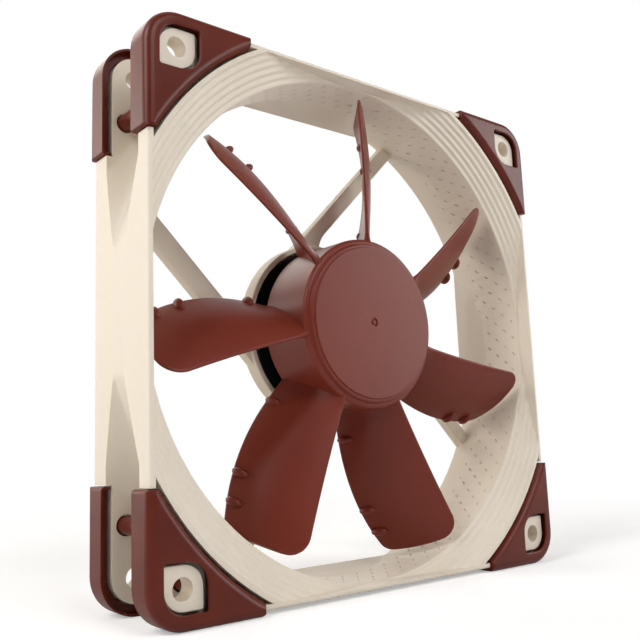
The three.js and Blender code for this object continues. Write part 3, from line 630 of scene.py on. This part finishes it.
# %% Corner outlines
def corner_outline(outer, arm_end, hollow_radius, notch, steps=40):
    """The L of a corner, with a hollow arc on the inside that runs on past each arm's end."""
    angle = math.degrees(math.acos(notch / hollow_radius))
    points = [(outer, arm_end), (outer, outer), (arm_end, outer), (arm_end, notch)]
    points += arc((0, 0), hollow_radius, 90 - angle, angle, steps)
    points.append((notch, arm_end))
    return points


def leaf_outline(low_edge, high_edge, outer_radius, inner_radius, grown=0.0):
    """A square whose outer and inner corners are round. It can be grown all round."""
    start = low_edge - grown
    end = high_edge + grown
    tight = 0.5 + grown
    corners = [(start, start, inner_radius + grown), (end, start, tight),
               (end, end, outer_radius + grown), (start, end, tight)]
    return rounded(corners, 10)


def boss_outline(grown=0.0):
    return leaf_outline(BOSS_AT - BOSS_HALF, BOSS_AT + BOSS_HALF, BOSS_HALF, BOSS_HALF, grown)


def window_outline(grown=0.0):
    return leaf_outline(BOSS_AT - BOSS_HALF - WINDOW_GAP_IN, BOSS_AT + BOSS_HALF + WINDOW_GAP_OUT,
                        BOSS_HALF + WINDOW_GAP_OUT, BOSS_HALF + WINDOW_GAP_IN / 2, grown)


EVERY_CORNER = ((-1, 1, "top_left"), (1, 1, "top_right"), (1, -1, "bottom_right"),
                (-1, -1, "bottom_left"))
EVERY_FACE = ((-1, "front"), (1, "rear"))


def at_corner(bm, sign_x, sign_z, face):
    return moved(bm, Matrix.Diagonal((sign_x, face, sign_z, 1)))


def at_every_corner(bm):
    """The eight copies of a solid made for the top right corner of the rear."""
    return gathered([
        at_corner(bm, x, z, face) for x, z, _ in EVERY_CORNER for face, _ in EVERY_FACE])


print("eight places:", len(EVERY_CORNER) * len(EVERY_FACE))

# %% Recesses, bosses and holes
RECESS_FLOOR = FACE - PAD_PLATE - PAD_SEAT_GAP
VALLEY_DEPTH = 1.6    # a narrow valley beside the ring, below the recess's floor
VALLEY_WIDTH = 1.4


def recess():
    outline = corner_outline(HALF + WELL_CLEAR, PAD_ARM_END - PAD_END_GAP, FLANGE_ROOT_R, NOTCH_AT)
    plate = pushed(outline, RECESS_FLOOR, FACE + PAST)
    valley = spun([(FLANGE_ROOT_R - PAST, RECESS_FLOOR - VALLEY_DEPTH),
                   (FLANGE_ROOT_R + VALLEY_WIDTH, RECESS_FLOOR - VALLEY_DEPTH),
                   (FLANGE_ROOT_R + VALLEY_WIDTH, RECESS_FLOOR + PAST),
                   (FLANGE_ROOT_R - PAST, RECESS_FLOOR + PAST)], 192)
    valley = combined(valley, pushed(outline, 0, FACE + PAST), "INTERSECT")
    plate = combined(plate, valley, "UNION")
    inside_half = HALF - PAD_RIM - PAD_SEAT_GAP
    inside = pushed(square(inside_half, PAD_CORNER_R - PAD_RIM - PAD_SEAT_GAP), -FACE, FACE + 2)
    far = HALF + WELL_CLEAR
    near = PAD_ARM_END - PAD_END_GAP
    side = pushed([(far, near), (far, far), (near, far), (near, near)], 0, FACE + PAST)
    side = combined(side, inside, "DIFFERENCE")
    return combined(plate, side, "UNION")


def boss():
    return edge_rounded(boss_outline, RECESS_FLOOR - PAST, FACE - BOSS_BELOW_PAD, 0.25, -1)


def hole_cutters():
    """One screw hole with a small lead-in at each boss face, and two peg holes."""
    top = FACE - BOSS_BELOW_PAD
    lead_in = 0.12
    screw = spun([(0, -FACE - PAST), (SCREW_HOLE_R + lead_in, -FACE - PAST),
                  (SCREW_HOLE_R + lead_in, -top), (SCREW_HOLE_R, -top + lead_in),
                  (SCREW_HOLE_R, top - lead_in), (SCREW_HOLE_R + lead_in, top),
                  (SCREW_HOLE_R + lead_in, FACE + PAST), (0, FACE + PAST)], 48)
    peg = spun([(0, -FACE - PAST), (PEG_R + 0.3, -FACE - PAST), (PEG_R + 0.3, FACE + PAST),
                (0, FACE + PAST)], 32)
    holes = [moved(screw, Matrix.Translation((HOLE, 0, HOLE)))]
    holes += [moved(peg, Matrix.Translation((x, 0, z))) for x, z in PEG_PLACES]
    return gathered(holes)


shell = combined(shell, at_every_corner(recess()), "DIFFERENCE")
shell = combined(shell, at_every_corner(boss()), "UNION")
all_holes = gathered([at_corner(hole_cutters(), x, z, 1) for x, z, _ in EVERY_CORNER])
shell = combined(shell, all_holes, "DIFFERENCE")
print("shell with bosses:", len(shell.faces), "faces")

# %% [markdown]
# The bore's wall is set with rows of tiny dents, turned at a slant and staggered from row to row.
# They keep the air close to the wall. Each is a small ball of few faces, stretched and sunk into
# the wall.

# %% Dents in the bore
DENT_ROWS = 5
DENTS_PER_ROW = 80
DENT_ROW_STEP = 2.7
FIRST_ROW_Y = -6.6
DENT_SEMI_AXES = (0.3, 0.75, 0.26)      # into the wall, along the axis and round it
DENT_SLANT = math.radians(40)


def dents():
    one = bmesh.new()
    bmesh.ops.create_uvsphere(one, u_segments=8, v_segments=6, radius=1)
    one = moved(one, Matrix.Rotation(DENT_SLANT, 4, "X") @ Matrix.Diagonal((*DENT_SEMI_AXES, 1)))
    places = []
    for row in range(DENT_ROWS):
        y = FIRST_ROW_Y + row * DENT_ROW_STEP
        radius = DUCT_R + max(y - OUTLET_START, 0) * OUTLET_SLOPE
        for i in range(DENTS_PER_ROW):
            angle = 360 * (i + row / 2) / DENTS_PER_ROW
            places.append(turned_about_y(angle) @ Matrix.Translation((radius, y, 0)))
    return gathered([moved(one, place) for place in places])


shell = combined(shell, dents(), "DIFFERENCE")
print("shell with dents:", len(shell.faces), "faces")

# %% [markdown]
# ## Motor base and struts
# Four struts run tangentially from the duct to the base, so that no blade passes one along its
# whole length at once, which would hum. Each is drawn in plan with a hollow radius where it meets
# the base, then pushed along the axis and rounded.

# %% Struts
FIRST_STRUT = -45     # degrees, and this one carries the lead


def strut(width):
    """A strut along -X, below the axis, with a fillet where it meets the base."""
    reach = math.sqrt((OUTLET_R + 1.5) ** 2 - (STRUT_OFFSET + width / 2) ** 2)
    top = -STRUT_OFFSET + width / 2
    bottom = -STRUT_OFFSET - width / 2
    blend = 7.0
    base_at = math.sqrt(BASE_R ** 2 - top ** 2)
    plan = [(0, bottom), (0, top + blend), (-base_at + 2.5, top + blend, 0.5)]
    plan += [(-base_at - 1.2, top, blend), (-reach, top), (-reach, bottom)]
    bar = pushed(rounded(plan, 8), FRAME_REAR - STRUT_DEPTH, FRAME_REAR)
    return bevelled(bar, 0.35, 3, lambda edge: (
        is_sharp(edge) and (lies_at(edge, FRAME_REAR - STRUT_DEPTH) or lies_at(edge, FRAME_REAR))))


def all_struts():
    struts = []
    for i in range(4):
        bar = strut(CABLE_STRUT_WIDTH if i == 0 else STRUT_WIDTH)
        struts.append(moved(bar, turned_about_y(FIRST_STRUT - 90 * i)))
    return struts


for bar in all_struts():
    shell = combined(shell, bar, "UNION")
print("shell with struts:", len(shell.faces), "faces")

# %% Motor base
def motor_base():
    """The dish that holds the motor: a floor with a rim round it."""
    inner = BASE_R - BASE_RIM
    return spun(rounded([(0, FLOOR_FRONT), (inner, FLOOR_FRONT, 0.3), (inner, BASE_FRONT, 0.3),
                         (BASE_R, BASE_FRONT, 0.35), (BASE_R, FRAME_REAR, 0.4), (0, FRAME_REAR)], 4))


def plug(radius, front, rear, steps=96):
    return spun([(0, front), (radius, front), (radius, rear), (0, rear)], steps)


SEAT_GAP = 0.3        # what is seated in the base keeps this clearance
BOARD_THICK = 1.2
COLLAR_WALL = 1.2
POST_R = 1.2
POST_AT = 15.0
seat = BASE_FRONT + SEAT_GAP + BOARD_THICK + SEAT_GAP
collar = plug(TUBE_SEAT_R + COLLAR_WALL, seat, FLOOR_FRONT + SINK)
post = plug(POST_R, seat, FLOOR_FRONT + SINK, 32)
posts = [moved(post, turned_about_y(120 * i) @ Matrix.Translation((POST_AT, 0, 0)))
         for i in range(3)]
shell = combined(shell, plug(BASE_R - BASE_RIM, BASE_FRONT - PAST, FLOOR_FRONT), "DIFFERENCE")
shell = combined(shell, motor_base(), "UNION")
shell = combined(shell, gathered([collar] + posts), "UNION")
shell = combined(shell, plug(TUBE_SEAT_R, BASE_FRONT, FRAME_REAR + PAST), "DIFFERENCE")
label_floor = FRAME_REAR - LABEL_THICK - SEAT_GAP
shell = combined(shell, plug(LABEL_R + SEAT_GAP, label_floor, FRAME_REAR + PAST), "DIFFERENCE")
print("shell with base:", len(shell.faces), "faces")

# %% Channel for the lead
def lead_channel():
    """A groove in the rear of the first strut, from the base out to the duct."""
    start, end = 6, DUCT_R - PAST
    depth, width = 1.8, 3.0
    groove = block(end - start, depth + PAST, width,
                   (-(start + end) / 2, FRAME_REAR - depth + (depth + PAST) / 2, -STRUT_OFFSET))
    return moved(groove, turned_about_y(FIRST_STRUT))


shell = combined(shell, lead_channel(), "DIFFERENCE")
print("shell with its channel:", len(shell.faces), "faces")

finished("frame_moulding", shell, beige_pbt, "housing", ["frame"])

# %% [markdown]
# ## Corner pads
# A pad is a soft cap: a plate on the flange, a rim round the side, a window for the boss, and two
# pegs that pull through the flange. Its outer edge and its hollow edge are broadly rounded, the
# ends of its arms less, and the window's edge only slightly. So each of them is cut by a solid that
# flares with its own radius. One bevel over the whole edge would give them all the same roundness.

# %% One pad
def hollow_cutter():
    """Clears the inside of the hollow edge, flaring towards the pad's face."""
    radius = FLANGE_ROOT_R + PAD_EDGE_GAP
    flare = arc((radius + PAD_EDGE_ROUND, FACE - PAD_EDGE_ROUND), PAD_EDGE_ROUND, 180, 90, 8)
    return spun([(0, -PAST), (radius, -PAST)] + flare +
                [(radius + PAD_EDGE_ROUND, FACE + PAST), (0, FACE + PAST)], 256)


def arm_end_cutters():
    """Clears everything beyond the two arms' ends, flaring to the pad's face and to its side."""
    far = HALF * 1.2
    upright = Matrix(((1, 0, 0, 0), (0, 0, 1, 0), (0, 1, 0, 0), (0, 0, 0, 1)))
    across = Matrix(((0, 0, 1, 0), (0, 1, 0, 0), (1, 0, 0, 0), (0, 0, 0, 1)))
    bars = []
    for surface, turn in ((FACE, upright), (HALF, Matrix.Identity(4))):
        flare = arc((PAD_ARM_END + ARM_END_ROUND, surface - ARM_END_ROUND), ARM_END_ROUND, 180, 90, 5)
        section = [(-far, -PAST), (PAD_ARM_END, -PAST)] + flare
        section += [(PAD_ARM_END + ARM_END_ROUND, surface + PAST), (-far, surface + PAST)]
        bar = moved(pushed(section, -far, far), turn)
        bars += [bar, moved(bar, across)]
    return bars


def rim_groove(rim_end):
    """The step along the rim's free end, behind a thin outer lip."""
    rear = rim_end + RIM_GROOVE_DEPTH
    outer = pushed(square(HALF - RIM_LIP, PAD_CORNER_R - RIM_LIP), rim_end - PAST, rear)
    inset = PAD_RIM + PAD_SEAT_GAP
    inner = pushed(square(HALF - inset, PAD_CORNER_R - inset), rim_end - 2 * PAST, rear + PAST)
    groove = combined(outer, inner, "DIFFERENCE")
    start = PAD_ARM_END + RIM_LIP
    keep = block(HALF, FACE * 2, HALF, (start + HALF / 2, 0, start + HALF / 2))
    return combined(groove, keep, "INTERSECT")


def pad(peg_end):
    rim_end = FACE - PAD_RIM_DEPTH
    plate_back = FACE - PAD_PLATE
    body = edge_rounded(lambda grown: square(HALF + grown, PAD_CORNER_R + grown), rim_end, FACE,
                        PAD_EDGE_ROUND, -1, 8)
    body = combined(body, hollow_cutter(), "DIFFERENCE")
    for cutter in arm_end_cutters():
        body = combined(body, cutter, "DIFFERENCE")
    inside = pushed(square(HALF - PAD_RIM, PAD_CORNER_R - PAD_RIM), rim_end - PAST, plate_back)
    body = combined(body, inside, "DIFFERENCE")
    body = combined(body, rim_groove(rim_end), "DIFFERENCE")
    window = edge_rounded(window_outline, plate_back - PAST, FACE, WINDOW_ROUND, 1, 4)
    body = combined(body, window, "DIFFERENCE")
    undercut = pushed(window_outline(WINDOW_UNDERCUT), plate_back - PAST, FACE - WINDOW_LIP)
    body = combined(body, undercut, "DIFFERENCE")
    peg = spun(rounded([(0, peg_end), (PEG_R, peg_end, 0.5), (PEG_R, plate_back + SINK),
                        (0, plate_back + SINK)], 4), 32)
    pegs = gathered([moved(peg, Matrix.Translation((x, 0, z))) for x, z in PEG_PLACES])
    return combined(body, pegs, "UNION")


PAD_BY_FACE = {-1: pad(-FRONT_FLANGE_BACK - PEG_STICK_OUT), 1: pad(REAR_FLANGE_BACK - PEG_STICK_OUT)}
for face, face_name in EVERY_FACE:
    for x, z, corner_name in EVERY_CORNER:
        name = f"pad_{face_name}_{corner_name}"
        finished("soft_" + name, at_corner(PAD_BY_FACE[face], x, z, face), pad_silicone, "housing",
                 [name])

# %% [markdown]
# ## The impeller
# The hub is a cup, turned from its section. Its front edge steps back twice: a bright bead round
# the face, a hollow, and a second round shoulder. Each blade starts as a flat grid, which is given
# its thickness and then laid into place by a formula: so far along the chord, so far out.

# %% Hub
def hub():
    inner = HUB_R - HUB_WALL
    face_edge = HUB_R - 2.3
    bead_edge = HUB_R - 1.45
    socket_in = 3.5
    socket_out = socket_in + 1.5
    socket_rear = HUB_BACK + 0.3 + 2.6
    corners = [
        (0, HUB_FRONT), (face_edge, HUB_FRONT, 0.12), (face_edge + 0.05, HUB_FRONT + 0.3, 0.08),
        (bead_edge, HUB_FRONT + 0.3, 0.38), (bead_edge + 0.15, HUB_FRONT + 1.0, 0.2),
        (HUB_R, HUB_FRONT + 1.0, 1.0), (HUB_R, HUB_REAR, 0.3),
        (inner, HUB_REAR, 0.3), (inner, HUB_BACK, 0.4), (socket_out, HUB_BACK, 0.2),
        (socket_out, socket_rear, 0.2), (socket_in, socket_rear, 0.2), (socket_in, HUB_BACK),
        (0, HUB_BACK)]
    return spun(rounded(corners, 5), 160)


rotor_hub = hub()
print("hub:", len(rotor_hub.faces), "faces")

# %% Blades
LEAD_ROOT_BACK, LEAD_TIP_BACK = 1.4, 0.3
TRAIL_TIP_AHEAD = 0.8
FIRST_BLADE = -13.7
LEAD_SWEEP = 2.7
WRAP_ROOT, WRAP_TIP, WRAP_EASE = 23.9, 9.7, 1.6
ROOT_THICK, TIP_THICK = 1.9, 1.3
EDGE_SHARE = 0.42     # the blade thins towards both edges, to this share of its thickness
NOSE_FLAT = 0.12      # the very edge keeps this share of that
ROOT_FLARE = 0.45     # each side swells by this much where it meets the hub
ROOT_FLARE_REACH = 0.7
CAMBER = 0.05
LEAD_CORNER_R, TRAIL_CORNER_R = 5.0, 1.8


def corner_trim(radius, corner_radius):
    """How much of a rounded tip corner is trimmed off an edge at this radius."""
    into = max(radius - (BLADE_TIP_R - corner_radius), 0)
    return corner_radius - math.sqrt(max(corner_radius ** 2 - into ** 2, 0))


def blade_point(chord, radius, lift):
    """The place of a blade's point: its share of the chord, its radius, and mm off the middle."""
    reach = max((radius - HUB_R) / (BLADE_TIP_R - HUB_R), 0)
    lead = math.radians(LEAD_SWEEP * reach)
    wrap = math.radians(mix(WRAP_ROOT, WRAP_TIP, reach ** WRAP_EASE)) + lead
    lead_y = HUB_FRONT + mix(LEAD_ROOT_BACK, LEAD_TIP_BACK, reach)
    trail_y = HUB_REAR - TRAIL_TIP_AHEAD * reach
    along = Vector((-radius * wrap, trail_y - lead_y))
    length = along.length
    along.normalize()
    across = Vector((-along.y, along.x))
    start = corner_trim(radius, LEAD_CORNER_R)
    end = length - corner_trim(radius, TRAIL_CORNER_R)
    share = mix(start, end, chord) / length
    slope = 4 * CAMBER * (1 - 2 * share)
    normal = (across - along * slope).normalized()
    place = along * share * length + across * 4 * CAMBER * length * share * (1 - share)
    place += normal * lift
    angle = lead + place.x / radius
    return Vector((radius * math.cos(angle), lead_y + place.y, radius * math.sin(angle)))


def blade_chord(radius):
    return (blade_point(0, radius, 0) - blade_point(1, radius, 0)).length


def blade():
    """A grid with a second skin behind it, laid onto the blade's surface."""
    bm = bmesh.new()
    across_steps, out_steps = 40, 44
    bmesh.ops.create_grid(bm, x_segments=across_steps, y_segments=out_steps, size=1)
    for vert in bm.verts:
        vert.co.z = 1
    grown = bmesh.ops.extrude_face_region(bm, geom=bm.faces[:], use_keep_orig=True)["geom"]
    for part in grown:
        if isinstance(part, bmesh.types.BMVert):
            part.co.z = -1
    for vert in bm.verts:
        chord = (1 - math.cos(math.pi * (vert.co.x + 1) / 2)) / 2
        out = 1 - ((1 - vert.co.y) / 2) ** 1.5
        radius = mix(BLADE_ROOT_R, BLADE_TIP_R, out)
        reach = max((radius - HUB_R) / (BLADE_TIP_R - HUB_R), 0)
        half = mix(ROOT_THICK, TIP_THICK, reach) / 2
        half *= mix(EDGE_SHARE, 1, math.sin(math.pi * chord) ** 0.8)
        from_edge = min(chord, 1 - chord) * blade_chord(radius) / (half + 0.01)
        round_nose = math.sqrt(max(1 - max(1 - from_edge, 0) ** 2, 0.0))
        root_flare = ROOT_FLARE * math.exp(-max(radius - HUB_R, 0) / ROOT_FLARE_REACH)
        lift = vert.co.z * (half * max(round_nose, NOSE_FLAT) + root_flare)
        vert.co = blade_point(chord, radius, lift)
    return tidy(bm)


one_blade = blade()
print("blade:", len(one_blade.faces), "faces, chord at the tip", round(blade_chord(50), 1), "mm")

# %% [markdown]
# Three small knobs stand on the suction side of each blade, just ahead of its trailing edge. They
# stir the thin layer of air there, which makes the fan quieter. Each is a sphere, stretched along
# the chord and half sunk in the blade.

# %% Knobs and assembly
KNOB_RADII = (26.8, 44.5, 50.3)
KNOB_SEMI_AXES = (2.1, 1.5, 1.0)        # along the chord, off the blade and outwards
KNOB_FROM_EDGE = 2.0
KNOB_LIFT = 0.4


def knob(radius):
    bm = bmesh.new()
    bmesh.ops.create_uvsphere(bm, u_segments=20, v_segments=12, radius=1)
    chord = 1 - KNOB_FROM_EDGE / blade_chord(radius)
    centre = blade_point(chord, radius, KNOB_LIFT)
    along = (blade_point(chord + 0.02, radius, 0) - blade_point(chord - 0.02, radius, 0)).normalized()
    off = (blade_point(chord, radius, 1) - blade_point(chord, radius, 0)).normalized()
    ways = (along, off, along.cross(off))
    turn = Matrix([way * long for way, long in zip(ways, KNOB_SEMI_AXES)]).transposed().to_4x4()
    bmesh.ops.transform(bm, matrix=Matrix.Translation(centre) @ turn, verts=bm.verts)
    return tidy(bm)


def impeller():
    bladed = one_blade
    for radius in KNOB_RADII:
        bladed = combined(bladed, knob(radius), "UNION")
    blades = [moved(bladed, turned_about_y(FIRST_BLADE + i * 360 / BLADE_COUNT))
              for i in range(BLADE_COUNT)]
    whole = combined(rotor_hub, gathered(blades), "UNION")
    mark = spun(rounded([(0, HUB_FRONT - PAST), (1.15, HUB_FRONT - PAST),
                         (1.05, HUB_FRONT + 0.35, 0.1), (0.6, HUB_FRONT + 0.35),
                         (0.4, HUB_FRONT + 0.05), (0, HUB_FRONT + 0.05)]), 32)
    return combined(whole, mark, "DIFFERENCE")


finished("impeller_moulding", impeller(), brown_pbt, "rotor", ["impeller"])

# %% [markdown]
# ## The motor's finishes
# The rest of the motor keeps its construction shapes, so it only needs its finishes. Turned parts
# carry fine rings from the lathe, laminations show as thin layers, and the windings as wire laid
# side by side. Each pattern is a wave at the real pitch of what made it.

# %% Metals
WAVE = math.tau / 20      # a wave node of scale 1 repeats every tau / 20 metres


def worked_metal(name, light, dark, roughness, pattern, pitch_mm, depth_mm, along="Y", wander=0.6):
    """A metal with the marks of its making: RINGS round the axis, or BANDS laid side by side."""
    material, tree, place = new_material(name)
    settings = {"wave_type": pattern}
    settings["rings_direction" if pattern == "RINGS" else "bands_direction"] = along
    marks = add(tree, "ShaderNodeTexWave", settings, Vector=place, Scale=mm(pitch_mm) * WAVE,
                Distortion=wander, Detail=2.0)
    stain = add(tree, "ShaderNodeTexNoise", Vector=place, Scale=mm(3.0), Detail=3.0)
    colour = two_tones(tree, stain.outputs["Fac"], dark, 0.35, light, 0.7)
    gloss = drifting(tree, stain, roughness - 0.05, roughness + 0.08)
    bump = add(tree, "ShaderNodeBump", Strength=0.6, Distance=depth_mm / 1000,
               Height=marks.outputs["Fac"])
    surface = add(tree, "ShaderNodeBsdfPrincipled", Base_Color=colour, Metallic=1.0,
                  Roughness=gloss, Normal=bump.outputs[0])
    finish_material(tree, surface)
    return material


METALS = {
    # turned brass: warm, with bright lathe rings
    "brass": worked_metal("turned_brass", "#D9B56C", "#BE9648", 0.28, "RINGS", 0.12, 0.01),
    # oil-filled bronze, pressed from powder: darker, dull and speckled
    "sintered_bronze": worked_metal("sintered_bronze", "#A9784A", "#7A5230", 0.5, "RINGS", 0.3, 0.01),
    # stamped silicon steel: 0.5 mm sheets seen on edge
    "laminations": worked_metal("stamped_silicon_steel", "#8C8F92", "#6A6D70", 0.42, "BANDS", 0.5,
                                0.04),
    # deep-drawn steel cup under bright zinc
    "pressed_steel": worked_metal("zinc_plated_steel", "#B9BDC0", "#A0A5A9", 0.33, "RINGS", 0.8, 0.005),
    # centreless-ground shaft: almost a mirror
    "ground_steel": worked_metal("ground_shaft_steel", "#CDD0D3", "#BFC3C7", 0.16, "BANDS", 0.1, 0.002),
    # enamelled copper wire, 0.35 mm thick, its turns laid side by side
    "copper_wire": worked_metal("enamelled_copper_wire", "#B5622E", "#8E4620", 0.3, "BANDS", 0.35,
                                0.12, "DIAGONAL", 1.5),
}
print("metals:", ", ".join(METALS))

# %% Plastics, magnet and board
def dull(name, light, dark, roughness, spot_mm, depth_mm, ior=1.5):
    """A dull solid with a mottled colour and a fine grain."""
    material, tree, place = new_material(name)
    spots = add(tree, "ShaderNodeTexNoise", Vector=place, Scale=mm(spot_mm), Detail=4.0)
    colour = two_tones(tree, spots.outputs["Fac"], dark, 0.38, light, 0.66)
    gloss = drifting(tree, spots, roughness - 0.04, roughness + 0.06)
    bump = add(tree, "ShaderNodeBump", Strength=0.5, Distance=depth_mm / 1000,
               Height=spots.outputs["Fac"])
    surface = add(tree, "ShaderNodeBsdfPrincipled", Base_Color=colour, IOR=ior,
                  Roughness=gloss, Normal=bump.outputs[0])
    finish_material(tree, surface)
    return material


INNER = {
    "slick_plastic": dull("natural_acetal", "#E8E6DC", "#DAD7CA", 0.3, 2.0, 0.004, 1.48),
    "insulator": dull("natural_nylon_moulded", "#EFE8DB", "#E2D9C8", 0.42, 0.5, 0.008, 1.53),
    "circuit_board": dull("black_solder_mask", "#15191A", "#0E1112", 0.3, 1.6, 0.02),
    "chip_package": dull("moulded_epoxy", "#232427", "#1A1B1D", 0.55, 0.2, 0.006, 1.55),
    "capacitor": dull("dipped_ceramic", "#8A6A3C", "#765628", 0.4, 0.6, 0.01, 1.55),
    "ferrite": dull("pressed_ferrite", "#33343A", "#28292D", 0.6, 0.4, 0.01, 1.6),
}
FINISHES = {**METALS, **INNER}
print("finishes:", len(FINISHES))

# %% Give the motor its finishes
given = 0
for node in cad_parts.values():
    slot_name = node.data.materials[0].name
    if slot_name in FINISHES:
        node.material_slots[0].material = FINISHES[slot_name]
        given += 1
print("motor pieces with a finish:", given)

# %% [markdown]
# ## Rear label
# A thin foil sticker closes the bearing at the rear. It is bare, but for a pale printed ring near
# its edge, which the finish draws by the distance from the axis.

# %% Rear label
RING_INSET = 1.6
RING_HALF_WIDTH = 0.25


def foil():
    material, tree, place = new_material("printed_polyester_foil")
    apart = add(tree, "ShaderNodeSeparateXYZ", Vector=place)
    flat = add(tree, "ShaderNodeCombineXYZ", X=apart.outputs["X"], Z=apart.outputs["Z"])
    reach = add(tree, "ShaderNodeVectorMath", {"operation": "LENGTH"}, n0=flat.outputs[0])
    ring = add(tree, "ShaderNodeMath", {"operation": "COMPARE"}, n0=reach.outputs["Value"],
               n1=(LABEL_R - RING_INSET) / 1000, n2=RING_HALF_WIDTH / 1000)
    fibres = add(tree, "ShaderNodeTexNoise", Vector=place, Scale=mm(0.8), Detail=3.0)
    colour = add(tree, "ShaderNodeMix", {"data_type": "RGBA"}, n0=ring.outputs[0])
    colour.inputs["A"].default_value = linear("#4A241E")
    colour.inputs["B"].default_value = linear("#D9CDBB")
    gloss = drifting(tree, fibres, 0.3, 0.4)
    bump = add(tree, "ShaderNodeBump", Strength=0.4, Distance=0.00001, Height=fibres.outputs["Fac"])
    surface = add(tree, "ShaderNodeBsdfPrincipled", Base_Color=colour.outputs["Result"],
                  Roughness=gloss, Normal=bump.outputs[0])
    finish_material(tree, surface)
    return material


label_front = FRAME_REAR - LABEL_THICK
label = spun(rounded([(0, label_front), (LABEL_R, label_front), (LABEL_R, FRAME_REAR, 0.08),
                      (0, FRAME_REAR)], 3), 160)
finished("label_disc", label, foil(), "housing", ["rear_label"])

# %% [markdown]
# ## Floor and light
# The fan stands on a pale floor in a white studio. The floor takes the fan's soft shadow, and a
# little glow that only the camera sees lifts it to white without putting more light on the fan.

# %% Floor
FLOOR_HALF = 3.0
FLOOR_LIFT = 0.35     # how much the camera alone sees the floor glow
FLOOR_NEAR = 0.11     # the floor turns from paper to plain white between these distances, in metres
FLOOR_FAR = 0.3


def pale_floor():
    bm = bmesh.new()
    bmesh.ops.create_grid(bm, x_segments=1, y_segments=1, size=FLOOR_HALF)
    mesh = bpy.data.meshes.new("floor")
    bm.to_mesh(mesh)
    floor = bpy.data.objects.new("floor", mesh)
    floor.location = (0, 0, low.z / 1000)
    bpy.context.scene.collection.objects.link(floor)
    material, tree, place = new_material("pale_studio_floor")
    path = add(tree, "ShaderNodeLightPath")
    distance = add(tree, "ShaderNodeVectorMath", {"operation": "LENGTH"}, n0=place)
    distant = add(tree, "ShaderNodeMapRange", {"interpolation_type": "SMOOTHSTEP"},
                  Value=distance.outputs["Value"], From_Min=FLOOR_NEAR, From_Max=FLOOR_FAR)
    grain = add(tree, "ShaderNodeTexNoise", Vector=place, Scale=mm(4), Detail=2.0)
    tone = add(tree, "ShaderNodeMapRange", Value=grain.outputs["Fac"], To_Min=0.78, To_Max=0.82)
    paper = add(tree, "ShaderNodeBsdfDiffuse", Color=tone.outputs[0])
    lift = add(tree, "ShaderNodeEmission", Strength=FLOOR_LIFT)
    lifted = add(tree, "ShaderNodeAddShader", n0=paper.outputs[0], n1=lift.outputs[0])
    white = add(tree, "ShaderNodeEmission", Strength=1.0)
    seen = add(tree, "ShaderNodeMixShader", Fac=distant.outputs[0], n1=lifted.outputs[0],
               n2=white.outputs[0])
    both = add(tree, "ShaderNodeMixShader", Fac=path.outputs["Is Camera Ray"], n1=paper.outputs[0],
               n2=seen.outputs[0])
    finish_material(tree, both)
    mesh.materials.append(material)
    return floor


print("floor:", pale_floor().name)

# %% Light
def soft_box(name, place, width, height, watts, colour):
    """A rectangular lamp that faces the fan's middle."""
    data = bpy.data.lights.new(name, "AREA")
    data.shape = "RECTANGLE"
    data.size = width
    data.size_y = height
    data.energy = watts
    data.color = linear(colour)[:3]
    light = bpy.data.objects.new(name, data)
    bpy.context.scene.collection.objects.link(light)
    light.location = place
    light.rotation_euler = (-Vector(place)).to_track_quat("-Z", "Y").to_euler()


# The lamps stand round the fan at 0.9 m. None of them is where the flat front would mirror it to the
# camera, so the dark pads stay dark. The three behind light the walls of the duct, and are a little
# warm, as light is that has come back off the beige walls.
WARM = "#FFF7EC"
for name, place, width, height, watts, colour in (
        ("right_soft", (0.75, -0.50, 0.25), 0.4, 0.5, 3.2, "#FFFFFF"),
        ("front_high", (0.0, -0.70, 0.57), 0.5, 0.4, 3.1, "#FFFFFF"),
        ("left_high", (-0.70, -0.10, 0.57), 0.4, 0.5, 4.8, "#FFFFFF"),
        ("behind_left", (-0.60, 0.67, 0.12), 0.5, 0.6, 3.3, WARM),
        ("behind_high", (0.0, 0.70, 0.57), 0.6, 0.4, 1.7, WARM),
        ("behind_right", (0.60, 0.67, 0.12), 0.5, 0.6, 0.9, WARM)):
    soft_box(name, place, width, height, watts, colour)

# %% [markdown]
# The room is white where the camera sees it. The fan's gloss shows a bright backdrop behind it and a
# dim side in front, and hardly any light comes from the room itself, so that the lamps shape it.

# %% Room
ROOM_LIGHT = 0.04     # what the studio's walls give to the fan
BACKDROP_SHINE = 0.8  # how bright the white backdrop is in the fan's gloss
FRONT_SHINE = 0.05    # and the dim side of the room, in front of the fan
world = bpy.data.worlds.new("white_studio")
bpy.context.scene.world = world
world.use_nodes = True
tree = world.node_tree
tree.nodes.clear()
path = add(tree, "ShaderNodeLightPath")
shine = add(tree, "ShaderNodeMath", {"operation": "MAXIMUM"}, n0=path.outputs["Is Glossy Ray"],
            n1=path.outputs["Is Transmission Ray"])
way = add(tree, "ShaderNodeTexCoord").outputs["Generated"]
towards = add(tree, "ShaderNodeSeparateXYZ", Vector=way)
backdrop = add(tree, "ShaderNodeMapRange", Value=towards.outputs["Y"], From_Min=-0.3, From_Max=0.5,
               To_Min=FRONT_SHINE, To_Max=BACKDROP_SHINE)
room = add(tree, "ShaderNodeMapRange", Value=shine.outputs[0], To_Min=ROOM_LIGHT,
           To_Max=backdrop.outputs[0])
strength = add(tree, "ShaderNodeMath", {"operation": "MAXIMUM"}, n0=room.outputs[0],
               n1=path.outputs["Is Camera Ray"])
sky = add(tree, "ShaderNodeBackground", Color=(1, 1, 1, 1), Strength=strength.outputs[0])
add(tree, "ShaderNodeOutputWorld", Surface=sky.outputs[0])
bpy.context.scene.view_settings.view_transform = "Standard"
print("world:", world.name)
